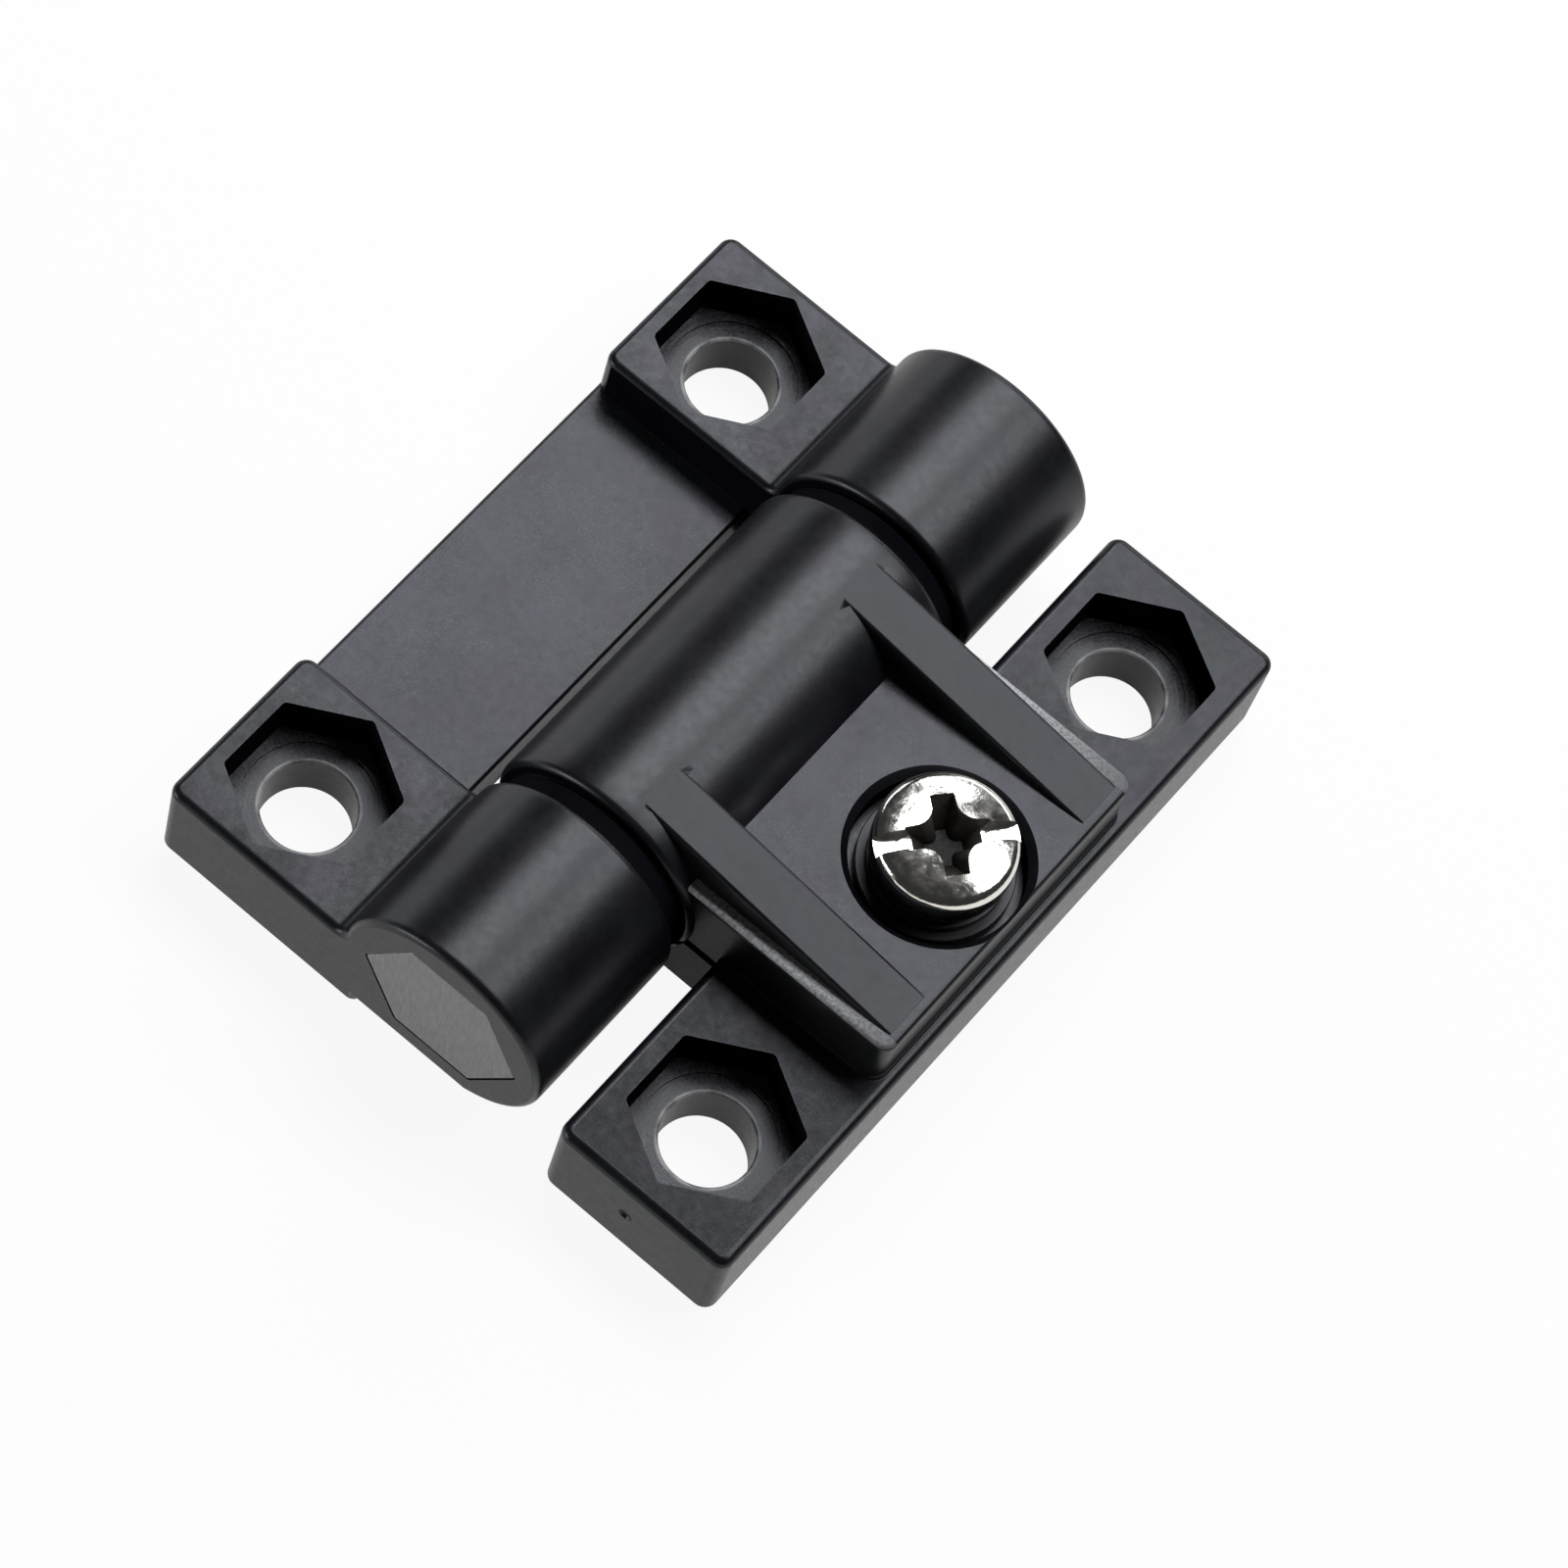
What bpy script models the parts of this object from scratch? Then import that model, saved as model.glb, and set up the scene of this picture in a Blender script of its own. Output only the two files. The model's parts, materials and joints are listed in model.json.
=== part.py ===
"""Plastic friction hinge: two leaves on a hexagonal pin, with a clamp screw that sets the torque.

The hinge lies open on its flat back. X runs across the leaves, Y along the pin and Z up.
The origin is under the middle of the open hinge, on the plane of its back.
"""
import math

import bmesh
import bpy
from mathutils import Matrix, Vector

MM = 0.001

# Both leaves: reaches are measured from the pin's axis, heights from the plane of the back
PIN_LEAF_REACH = 19.1 * MM
PIN_LEAF_LENGTH = 47.4 * MM
CLAMP_LEAF_OVERHANG = 0.6 * MM
LEAF_THICKNESS = 6.6 * MM
EDGE_ROUND = 0.5 * MM
CORNER_ROUND = 1.3 * MM

# Knuckles of the pin leaf and the barrel of the clamp leaf between them
KNUCKLE_RADIUS = 6.7 * MM
BACK_CLEARANCE = 0.1 * MM
KNUCKLE_LENGTH = 11.2 * MM
KNUCKLE_BACK = 0.6 * MM
KNUCKLE_BACK_REACH = 5.2 * MM
KNUCKLE_FILLET = 0.8 * MM
BARREL_GAP = 1.3 * MM
RIM_ROUND = 0.3 * MM
PAD_ROUND = 0.4 * MM

# Thin middle plate of the pin leaf
RECESS_THICKNESS = 3.1 * MM
RECESS_GAP = 1.3 * MM

# Ears of the clamp leaf, which start past the knuckles
EAR_GAP = 1.9 * MM
EAR_WIDTH = 11.5 * MM

# Mounting holes with their hexagonal pockets
HOLE_END = 5.7 * MM
PIN_LEAF_HOLE_EDGE = 5.4 * MM
HOLE_DIAMETER = 5.3 * MM
HOLE_CHAMFER = 0.4 * MM
POCKET_FLATS = 8.5 * MM
POCKET_DEPTH = 3.1 * MM
SPOT_DIAMETER = 7.6 * MM
SPOT_DEPTH = 0.25 * MM

# Hexagonal pin, friction sleeve and thrust washers
BARREL_WALL = 0.8 * MM
SLEEVE_CORNER_WALL = 0.44 * MM
THRUST_SETBACK = 0.7 * MM
PIN_END_CHAMFER = 0.15 * MM
FIT_GAP = 0.15 * MM

# Raised block of the clamp leaf, its two sloping arms and its clamp tongue
BLOCK_START = 3.0 * MM
BLOCK_MARGIN = 0.8 * MM
BLOCK_STEP = 0.4 * MM
BLOCK_RISE = 3.8 * MM
BLOCK_CORNER = 0.9 * MM
ARM_STEP = 0.9 * MM
ARM_WIDTH = 3.15 * MM
ARM_TOE = 0.1 * MM
ARM_ROUND = 0.25 * MM
ARM_SETBACK = 0.6 * MM
ARM_SINK = math.radians(5)
TONGUE_MARGIN = 1.9 * MM
TONGUE_BACK = 0.6 * MM
TONGUE_SLOT = 0.8 * MM
SLIT_HEIGHT = 4.8 * MM
SLIT_WIDTH = 0.8 * MM

# Adjusting screw with its springs, washer and nut
SCREW_EDGE = 5.1 * MM
SCREW_DIAMETER = 4.0 * MM
SCREW_HOLE_GAP = 0.3 * MM
HEAD_DIAMETER = 8.0 * MM
HEAD_HEIGHT = 2.5 * MM
HEAD_CROWN = 0.55 * MM
HEAD_EDGE = 0.7 * MM
HEAD_EDGE_ARC = math.radians(72)
SLOT_WIDTH = 1.1 * MM
SLOT_DEPTH = 1.2 * MM
CROSS_SPAN = 4.8 * MM
CROSS_WIDTH = 1.35 * MM
CROSS_DEPTH = 1.9 * MM
CROSS_TAPER = 0.55
SLOT_ANGLE = math.radians(49.5)
COUNTERBORE_DIAMETER = 9.8 * MM
COUNTERBORE_CHAMFER = 0.5 * MM
COUNTERBORE_DEPTH = 2.0 * MM
WASHER_DIAMETER = 8.8 * MM
WASHER_THICKNESS = 0.8 * MM
SPRING_DIAMETER = 7.8 * MM
SPRING_SHEET = 0.4 * MM
SPRING_CONE = 0.35 * MM
STACK_GAP = 0.1 * MM
NUT_WIDTH = 7.0 * MM
NUT_THICKNESS = 2.2 * MM
NUT_POCKET_DEPTH = 2.9 * MM
NUT_CHAMFER = 0.25 * MM

ROUND_SEGMENTS = 64
HOLE_SEGMENTS = 40
SMALL_SEGMENTS = 32
CORNER_SEGMENTS = 5
EDGE_SEGMENTS = 3
SHARP_ANGLE = math.radians(30)
OVERCUT = 1.0 * MM
MERGE = 0.00001 * MM

# Worked out from the sizes above
EAR_START = KNUCKLE_RADIUS + EAR_GAP
RECESS_START = KNUCKLE_RADIUS + RECESS_GAP
CLAMP_LEAF_LENGTH = PIN_LEAF_LENGTH + 2 * CLAMP_LEAF_OVERHANG
HOLE_SPACING = PIN_LEAF_LENGTH - 2 * HOLE_END
KNUCKLE_INNER = PIN_LEAF_LENGTH / 2 - KNUCKLE_LENGTH
BARREL_LENGTH = 2 * (KNUCKLE_INNER - BARREL_GAP)
CLAMP_LEAF_REACH = EAR_START + EAR_WIDTH
CLAMP_LEAF_HOLE_REACH = EAR_START + EAR_WIDTH / 2
PIN_LEAF_HOLE_REACH = PIN_LEAF_REACH - PIN_LEAF_HOLE_EDGE
PIN_X = (PIN_LEAF_REACH - CLAMP_LEAF_REACH) / 2
PIN_HEIGHT = KNUCKLE_RADIUS + BACK_CLEARANCE
PIN_AXIS = Vector((PIN_X, 0, PIN_HEIGHT))
BARREL_BORE = KNUCKLE_RADIUS - BARREL_WALL
SLEEVE_RADIUS = BARREL_BORE - FIT_GAP
THRUST_RADIUS = KNUCKLE_RADIUS - THRUST_SETBACK
PIN_BORE_FLATS = (SLEEVE_RADIUS - SLEEVE_CORNER_WALL) * math.sqrt(3)
PIN_FLATS = PIN_BORE_FLATS - 2 * FIT_GAP
BLOCK_REACH = CLAMP_LEAF_REACH - BLOCK_MARGIN
BLOCK_TOP = PIN_HEIGHT + BLOCK_RISE
BLOCK_WIDTH = BARREL_LENGTH - 2 * BLOCK_STEP
ARM_INNER = BLOCK_WIDTH / 2 - ARM_STEP - ARM_WIDTH
TONGUE_REACH = BLOCK_REACH - TONGUE_MARGIN
COUNTERBORE_FLOOR = BLOCK_TOP - COUNTERBORE_DEPTH
WASHER_BOTTOM = COUNTERBORE_FLOOR + STACK_GAP
LOWER_SPRING_BOTTOM = WASHER_BOTTOM + WASHER_THICKNESS + STACK_GAP
UPPER_SPRING_BOTTOM = LOWER_SPRING_BOTTOM + SPRING_SHEET + SPRING_CONE + STACK_GAP
HEAD_BOTTOM = UPPER_SPRING_BOTTOM + SPRING_SHEET + SPRING_CONE + STACK_GAP
NUT_TOP = TONGUE_BACK + NUT_POCKET_DEPTH - FIT_GAP
NUT_BOTTOM = NUT_TOP - NUT_THICKNESS
SCREW_AXIS = Vector((PIN_X + BLOCK_REACH - SCREW_EDGE, 0, HEAD_BOTTOM))


def clear_scene():
    for item in list(bpy.data.objects):
        bpy.data.objects.remove(item, do_unlink=True)


def material(name, color, roughness, metallic):
    """A Principled material with one colour."""
    made = bpy.data.materials.new(name)
    made.use_nodes = True
    shader = made.node_tree.nodes["Principled BSDF"]
    shader.inputs["Base Color"].default_value = (*color, 1)
    shader.inputs["Roughness"].default_value = roughness
    shader.inputs["Metallic"].default_value = metallic
    return made


def finish_mesh(name, bm):
    """Turn a bmesh into an object with outward faces."""
    bmesh.ops.remove_doubles(bm, verts=bm.verts, dist=MERGE)
    bmesh.ops.recalc_face_normals(bm, faces=bm.faces)
    mesh = bpy.data.meshes.new(name)
    bm.to_mesh(mesh)
    bm.free()
    made = bpy.data.objects.new(name, mesh)
    bpy.context.scene.collection.objects.link(made)
    return made


def round_edges(bm, test, width, segments=EDGE_SEGMENTS):
    """Round every edge whose two end points pass the test."""
    edges = [edge for edge in bm.edges if test(edge)]
    bmesh.ops.bevel(
        bm, geom=edges, offset=width, offset_type="OFFSET", segments=segments,
        profile=0.5, affect="EDGES", clamp_overlap=True,
    )


def sharp(edge):
    return len(edge.link_faces) == 2 and edge.calc_face_angle() > SHARP_ANGLE


def upright(edge):
    start, end = (vertex.co for vertex in edge.verts)
    return (start.xy - end.xy).length < MERGE


def prism(outline, direction, low, high):
    """A bmesh of a flat outline pushed along Y or Z."""
    bm = bmesh.new()
    if direction == "Y":
        corners = [(x, low, z) for x, z in outline]
        push = Vector((0, high - low, 0))
    else:
        corners = [(x, y, low) for x, y in outline]
        push = Vector((0, 0, high - low))
    face = bm.faces.new([bm.verts.new(corner) for corner in corners])
    made = bmesh.ops.extrude_face_region(bm, geom=[face])
    pushed = [item for item in made["geom"] if isinstance(item, bmesh.types.BMVert)]
    bmesh.ops.translate(bm, verts=pushed, vec=push)
    bmesh.ops.recalc_face_normals(bm, faces=bm.faces)
    return bm


def rectangle(left, right, low, high):
    return [(left, low), (right, low), (right, high), (left, high)]


def arc(center, radius, start, end, steps):
    """Points on an arc, both ends included, with the angles in radians."""
    points = []
    for step in range(steps + 1):
        angle = start + (end - start) * step / steps
        points.append((center[0] + radius * math.cos(angle), center[1] + radius * math.sin(angle)))
    return points


def hexagon(flats, first_corner, center=(0, 0)):
    corner_radius = flats / math.sqrt(3)
    return [
        (
            center[0] + corner_radius * math.cos(first_corner + corner * math.pi / 3),
            center[1] + corner_radius * math.sin(first_corner + corner * math.pi / 3),
        )
        for corner in range(6)
    ]


def turned(name, profile, center, segments):
    """A solid turned about the vertical through center, from (radius, height) points."""
    bm = bmesh.new()
    points = [bm.verts.new((radius, 0, height)) for radius, height in profile]
    edges = [bm.edges.new((points[i], points[(i + 1) % len(points)])) for i in range(len(points))]
    bmesh.ops.spin(
        bm, geom=points + edges, cent=(0, 0, 0), axis=(0, 0, 1),
        angle=2 * math.pi, steps=segments, use_merge=True,
    )
    bmesh.ops.remove_doubles(bm, verts=bm.verts, dist=MERGE)
    bmesh.ops.dissolve_degenerate(bm, edges=bm.edges, dist=MERGE)
    bmesh.ops.translate(bm, verts=bm.verts, vec=center)
    return finish_mesh(name, bm)


def cutter(made):
    """Mark an object as a cutter, which isn't part of the hinge."""
    made.hide_render = True
    made.display_type = "WIRE"
    return made


def combine(target, tool, operation):
    step = target.modifiers.new(operation.lower() + "_" + tool.name, "BOOLEAN")
    step.operation = operation
    step.solver = "EXACT"
    step.object = cutter(tool)


def set_origin(made, origin):
    made.data.transform(Matrix.Translation(-origin))
    made.location = origin


def dress(made, finish, origin):
    """Give a finished piece its material, its origin and smooth round faces."""
    made.data.materials.append(finish)
    made.data.shade_smooth()
    made.data.set_sharp_from_angle(angle=SHARP_ANGLE)
    set_origin(made, origin)


def knuckle_outline():
    """Pad and knuckle of the pin leaf, seen along the pin."""
    left = PIN_X - PIN_LEAF_REACH
    back = PIN_HEIGHT - KNUCKLE_BACK
    start = -math.asin(back / KNUCKLE_RADIUS)
    # The fillet touches the pad's top from above and the knuckle from outside
    rise = LEAF_THICKNESS + KNUCKLE_FILLET - PIN_HEIGHT
    across = math.sqrt((KNUCKLE_RADIUS + KNUCKLE_FILLET) ** 2 - rise ** 2)
    meet = math.pi - math.atan2(rise, across)
    fillet_center = (PIN_X - across, LEAF_THICKNESS + KNUCKLE_FILLET)
    steps = round(ROUND_SEGMENTS * (meet - start) / (2 * math.pi))
    outline = [(left, 0), (PIN_X - KNUCKLE_BACK_REACH, 0), (PIN_X - KNUCKLE_BACK_REACH, KNUCKLE_BACK)]
    outline += arc((PIN_X, PIN_HEIGHT), KNUCKLE_RADIUS, start, meet, steps)
    outline += arc(fillet_center, KNUCKLE_FILLET, meet - math.pi, -math.pi / 2, EDGE_SEGMENTS)[1:]
    outline.append((left, LEAF_THICKNESS))
    return outline


def pin_leaf_end(name, inner, outer):
    """One end of the pin leaf: a raised pad and its knuckle in one."""
    left = PIN_X - PIN_LEAF_REACH
    bm = prism(knuckle_outline(), "Y", min(inner, outer), max(inner, outer))

    def at_left(edge):
        return upright(edge) and all(abs(v.co.x - left) < MERGE for v in edge.verts)

    round_edges(bm, at_left, CORNER_ROUND, CORNER_SEGMENTS)

    def above_back(edge):
        return sharp(edge) and min(v.co.z for v in edge.verts) > KNUCKLE_BACK + PAD_ROUND

    round_edges(bm, above_back, PAD_ROUND)
    return finish_mesh(name, bm)


def mounting_hole(name, reach, side):
    """Hexagonal pocket, spot face, through hole and back chamfer, as cutters."""
    x = PIN_X + reach
    y = side * HOLE_SPACING / 2
    floor = LEAF_THICKNESS - POCKET_DEPTH
    radius = HOLE_DIAMETER / 2
    outline = hexagon(POCKET_FLATS, math.pi / 2, (x, y))
    pocket = finish_mesh(name + "_pocket", prism(outline, "Z", floor, LEAF_THICKNESS + OVERCUT))
    profile = [
        (0, -OVERCUT),
        (radius + HOLE_CHAMFER + OVERCUT, -OVERCUT),
        (radius, HOLE_CHAMFER),
        (radius, floor - SPOT_DEPTH - HOLE_CHAMFER),
        (radius + HOLE_CHAMFER, floor - SPOT_DEPTH),
        (SPOT_DIAMETER / 2, floor - SPOT_DEPTH),
        (SPOT_DIAMETER / 2, floor + POCKET_DEPTH / 2),
        (0, floor + POCKET_DEPTH / 2),
    ]
    hole = turned(name + "_hole", profile, (x, y, 0), HOLE_SEGMENTS)
    return [pocket, hole]


def make_pin_leaf(finish):
    """The leaf with two pads, two outer knuckles and a thin plate between them."""
    left = PIN_X - PIN_LEAF_REACH
    overlap = EDGE_ROUND + CORNER_ROUND
    outline = rectangle(left, PIN_X - RECESS_START, -KNUCKLE_INNER - overlap, KNUCKLE_INNER + overlap)
    bm = prism(outline, "Z", 0, RECESS_THICKNESS)

    def top_edge(edge):
        level = all(abs(v.co.z - RECESS_THICKNESS) < MERGE for v in edge.verts)
        along = abs(edge.verts[0].co.x - edge.verts[1].co.x) < MERGE
        return level and along

    round_edges(bm, top_edge, EDGE_ROUND)
    leaf = finish_mesh("pin_leaf", bm)
    end = PIN_LEAF_LENGTH / 2
    combine(leaf, pin_leaf_end("near_end", -KNUCKLE_INNER, -end), "UNION")
    combine(leaf, pin_leaf_end("far_end", KNUCKLE_INNER, end), "UNION")
    bore = hexagon(PIN_BORE_FLATS, 0, (PIN_X, PIN_HEIGHT))
    reach = end + OVERCUT
    combine(leaf, finish_mesh("pin_bore", prism(bore, "Y", -reach, reach)), "DIFFERENCE")
    for side in (-1, 1):
        for tool in mounting_hole("pin_leaf_%d" % (side + 1), -PIN_LEAF_HOLE_REACH, side):
            combine(leaf, tool, "DIFFERENCE")
    dress(leaf, finish, PIN_AXIS)


def barrel():
    """The round barrel between the two knuckles."""
    half = BARREL_LENGTH / 2
    circle = arc((PIN_X, PIN_HEIGHT), KNUCKLE_RADIUS, 0, 2 * math.pi, ROUND_SEGMENTS)[:-1]
    bm = prism(circle, "Y", -half, half)

    def rim(edge):
        return all(abs(abs(v.co.y) - half) < MERGE for v in edge.verts)

    round_edges(bm, rim, RIM_ROUND)
    return finish_mesh("barrel", bm)


def clamp_block():
    """The block that stands on the clamp leaf and runs into the barrel."""
    half = BLOCK_WIDTH / 2
    right = PIN_X + BLOCK_REACH
    bm = prism(rectangle(PIN_X + BLOCK_START, right, -half, half), "Z", TONGUE_BACK, BLOCK_TOP)

    def outer_corner(edge):
        return upright(edge) and all(abs(v.co.x - right) < MERGE for v in edge.verts)

    round_edges(bm, outer_corner, BLOCK_CORNER, CORNER_SEGMENTS)

    def top_edge(edge):
        return all(abs(v.co.z - BLOCK_TOP) < MERGE for v in edge.verts)

    round_edges(bm, top_edge, RIM_ROUND)
    return finish_mesh("clamp_block", bm)


def arm(name, side):
    """An arm on the block, whose flat top slopes down from the barrel to the outer edge."""
    toe = PIN_X + BLOCK_REACH - ARM_SETBACK
    drop = BLOCK_TOP + ARM_TOE - PIN_HEIGHT
    contact = math.atan2(drop, toe - PIN_X) + math.acos(KNUCKLE_RADIUS / math.hypot(toe - PIN_X, drop))
    start = contact + ARM_SINK
    outline = [
        (toe, BLOCK_TOP - RIM_ROUND),
        (toe, BLOCK_TOP + ARM_TOE),
        (PIN_X + KNUCKLE_RADIUS * math.cos(start), PIN_HEIGHT + KNUCKLE_RADIUS * math.sin(start) - MERGE),
        (PIN_X + BLOCK_START, BLOCK_TOP - RIM_ROUND),
    ]
    edges = sorted((side * ARM_INNER, side * (ARM_INNER + ARM_WIDTH)))
    bm = prism(outline, "Y", *edges)

    def top_side(edge):
        low = min(v.co.z for v in edge.verts)
        return low > BLOCK_TOP and abs(edge.verts[0].co.y - edge.verts[1].co.y) < MERGE

    round_edges(bm, top_side, ARM_ROUND)
    return finish_mesh(name, bm)


def clamp_cuts():
    """The barrel's bore, the slit over the tongue, the slots round it and the nut's pocket."""
    half = BARREL_LENGTH / 2
    bore = arc((PIN_X, PIN_HEIGHT), BARREL_BORE, 0, 2 * math.pi, ROUND_SEGMENTS)[:-1]
    cuts = [finish_mesh("barrel_bore", prism(bore, "Y", -half - OVERCUT, half + OVERCUT))]
    tongue_end = PIN_X + TONGUE_REACH
    slot_end = tongue_end + TONGUE_SLOT
    tongue_side = BLOCK_WIDTH / 2
    slot_side = tongue_side + TONGUE_SLOT
    slit_top = SLIT_HEIGHT + SLIT_WIDTH
    slit = [
        (PIN_X, SLIT_HEIGHT), (tongue_end, SLIT_HEIGHT), (tongue_end, -OVERCUT),
        (slot_end, -OVERCUT), (slot_end, slit_top), (PIN_X, slit_top),
    ]
    cuts.append(finish_mesh("slit", prism(slit, "Y", -slot_side, slot_side)))
    middle = SLIT_HEIGHT + SLIT_WIDTH / 2
    for name, edges in (("near_slot", (-slot_side, -tongue_side)), ("far_slot", (tongue_side, slot_side))):
        slot = rectangle(PIN_X + EAR_START - OVERCUT, slot_end, *edges)
        cuts.append(finish_mesh(name, prism(slot, "Z", -OVERCUT, middle)))
    relief_side = tongue_side + TONGUE_SLOT / 2
    relief_end = tongue_end + TONGUE_SLOT / 2
    relief = rectangle(PIN_X + EAR_START - OVERCUT, relief_end, -relief_side, relief_side)
    cuts.append(finish_mesh("tongue_relief", prism(relief, "Z", -OVERCUT, TONGUE_BACK)))
    side = NUT_WIDTH / 2 + FIT_GAP
    pocket = rectangle(SCREW_AXIS.x - side, SCREW_AXIS.x + side, -side, side)
    cuts.append(finish_mesh("nut_pocket", prism(pocket, "Z", -OVERCUT, TONGUE_BACK + NUT_POCKET_DEPTH)))
    return cuts


def screw_cut():
    """The stepped hole for the screw, with its counterbore and rim chamfer."""
    bore = SCREW_DIAMETER / 2 + SCREW_HOLE_GAP
    wide = COUNTERBORE_DIAMETER / 2
    rim = wide + COUNTERBORE_CHAMFER
    profile = [
        (0, NUT_BOTTOM),
        (bore, NUT_BOTTOM),
        (bore, COUNTERBORE_FLOOR),
        (wide, COUNTERBORE_FLOOR),
        (wide, BLOCK_TOP - COUNTERBORE_CHAMFER),
        (rim, BLOCK_TOP),
        (rim, BLOCK_TOP + OVERCUT),
        (0, BLOCK_TOP + OVERCUT),
    ]
    return turned("screw_cut", profile, (SCREW_AXIS.x, 0, 0), HOLE_SEGMENTS)


def make_clamp_leaf(finish):
    """The leaf with two ears, the barrel and the block that the screw pulls together."""
    end = CLAMP_LEAF_LENGTH / 2
    left = PIN_X + EAR_START
    right = PIN_X + CLAMP_LEAF_REACH
    bm = prism(rectangle(left, right, -end, end), "Z", 0, LEAF_THICKNESS)
    round_edges(bm, upright, CORNER_ROUND, CORNER_SEGMENTS)

    def top_edge(edge):
        return all(abs(v.co.z - LEAF_THICKNESS) < MERGE for v in edge.verts)

    round_edges(bm, top_edge, EDGE_ROUND)
    leaf = finish_mesh("clamp_leaf", bm)
    for made in (clamp_block(), barrel(), arm("near_arm", -1), arm("far_arm", 1)):
        combine(leaf, made, "UNION")
    for tool in clamp_cuts() + [screw_cut()]:
        combine(leaf, tool, "DIFFERENCE")
    for side in (-1, 1):
        for tool in mounting_hole("clamp_leaf_%d" % (side + 1), CLAMP_LEAF_HOLE_REACH, side):
            combine(leaf, tool, "DIFFERENCE")
    dress(leaf, finish, PIN_AXIS)


def keyed_ring(name, outline, half_length, center_y, finish):
    """A ring round the pin, with a bore that the hexagonal pin turns."""
    ring = finish_mesh(name, prism(outline, "Y", center_y - half_length, center_y + half_length))
    bore = hexagon(PIN_BORE_FLATS, 0, (PIN_X, PIN_HEIGHT))
    reach = PIN_LEAF_LENGTH / 2
    combine(ring, finish_mesh(name + "_bore", prism(bore, "Y", -reach, reach)), "DIFFERENCE")
    dress(ring, finish, PIN_AXIS)


def make_pin(finish):
    """The hexagonal pin, flush with the knuckles' ends."""
    end = PIN_LEAF_LENGTH / 2
    bm = prism(hexagon(PIN_FLATS, 0, (PIN_X, PIN_HEIGHT)), "Y", -end, end)

    def end_edge(edge):
        return abs(edge.verts[0].co.y - edge.verts[1].co.y) < MERGE

    round_edges(bm, end_edge, PIN_END_CHAMFER, 1)
    dress(finish_mesh("hinge_pin", bm), finish, PIN_AXIS)


def make_sleeve_and_thrust_washers(sleeve_finish, washer_finish):
    """The friction sleeve in the barrel, and a thrust washer at each end of it."""
    center = (PIN_X, PIN_HEIGHT)
    round_outline = arc(center, SLEEVE_RADIUS, 0, 2 * math.pi, ROUND_SEGMENTS)[:-1]
    keyed_ring("friction_sleeve", round_outline, BARREL_LENGTH / 2, 0, sleeve_finish)
    round_outline = arc(center, THRUST_RADIUS, 0, 2 * math.pi, ROUND_SEGMENTS)[:-1]
    middle = KNUCKLE_INNER - BARREL_GAP / 2
    thickness = BARREL_GAP - 2 * FIT_GAP
    keyed_ring("thrust_washer_near", round_outline, thickness / 2, -middle, washer_finish)
    keyed_ring("thrust_washer_far", round_outline, thickness / 2, middle, washer_finish)


def cross_recess(top):
    """A tapered cross cutter, widest at the head's top."""
    bm = bmesh.new()
    span = CROSS_SPAN / 2
    half = CROSS_WIDTH / 2
    plan = [
        (span, -half), (span, half), (half, half), (half, span), (-half, span), (-half, half),
        (-span, half), (-span, -half), (-half, -half), (-half, -span), (half, -span), (half, -half),
    ]
    rings = []
    for height in (top - CROSS_DEPTH, top + OVERCUT):
        scale = 1 + (height - top) / CROSS_DEPTH * (1 - CROSS_TAPER)
        rings.append([bm.verts.new((x * scale, y * scale, height)) for x, y in plan])
    for corner in range(len(plan)):
        after = (corner + 1) % len(plan)
        bm.faces.new([rings[0][corner], rings[0][after], rings[1][after], rings[1][corner]])
    bm.faces.new(rings[0])
    bm.faces.new(rings[1])
    bmesh.ops.rotate(bm, verts=bm.verts, cent=(0, 0, 0), matrix=Matrix.Rotation(SLOT_ANGLE, 3, "Z"))
    bmesh.ops.translate(bm, verts=bm.verts, vec=(SCREW_AXIS.x, 0, 0))
    return finish_mesh("cross_recess", bm)


def make_screw(finish):
    """Pan-head screw with a slot and a cross recess; its fine thread isn't cut."""
    shank = SCREW_DIAMETER / 2
    radius = HEAD_DIAMETER / 2
    top = HEAD_BOTTOM + HEAD_HEIGHT
    shoulder = top - HEAD_CROWN - HEAD_EDGE
    profile = [(0, NUT_BOTTOM), (shank - NUT_CHAMFER, NUT_BOTTOM), (shank, NUT_BOTTOM + NUT_CHAMFER)]
    profile += [(shank, HEAD_BOTTOM), (radius, HEAD_BOTTOM), (radius, shoulder)]
    profile += arc((radius - HEAD_EDGE, shoulder), HEAD_EDGE, 0, HEAD_EDGE_ARC, CORNER_SEGMENTS)[1:]
    edge_radius, edge_height = profile[-1]
    for step in range(1, CORNER_SEGMENTS + 1):
        left_over = 1 - step / CORNER_SEGMENTS
        profile.append((edge_radius * left_over, top - (top - edge_height) * left_over ** 2))
    screw = turned("adjusting_screw", profile, (SCREW_AXIS.x, 0, 0), HOLE_SEGMENTS)
    bm = prism(rectangle(-radius - OVERCUT, radius + OVERCUT, -SLOT_WIDTH / 2, SLOT_WIDTH / 2), "Z",
               top - SLOT_DEPTH, top + OVERCUT)
    bmesh.ops.rotate(bm, verts=bm.verts, cent=(0, 0, 0), matrix=Matrix.Rotation(SLOT_ANGLE, 3, "Z"))
    bmesh.ops.translate(bm, verts=bm.verts, vec=(SCREW_AXIS.x, 0, 0))
    combine(screw, finish_mesh("screw_slot", bm), "DIFFERENCE")
    combine(screw, cross_recess(top), "DIFFERENCE")
    dress(screw, finish, SCREW_AXIS)


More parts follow.
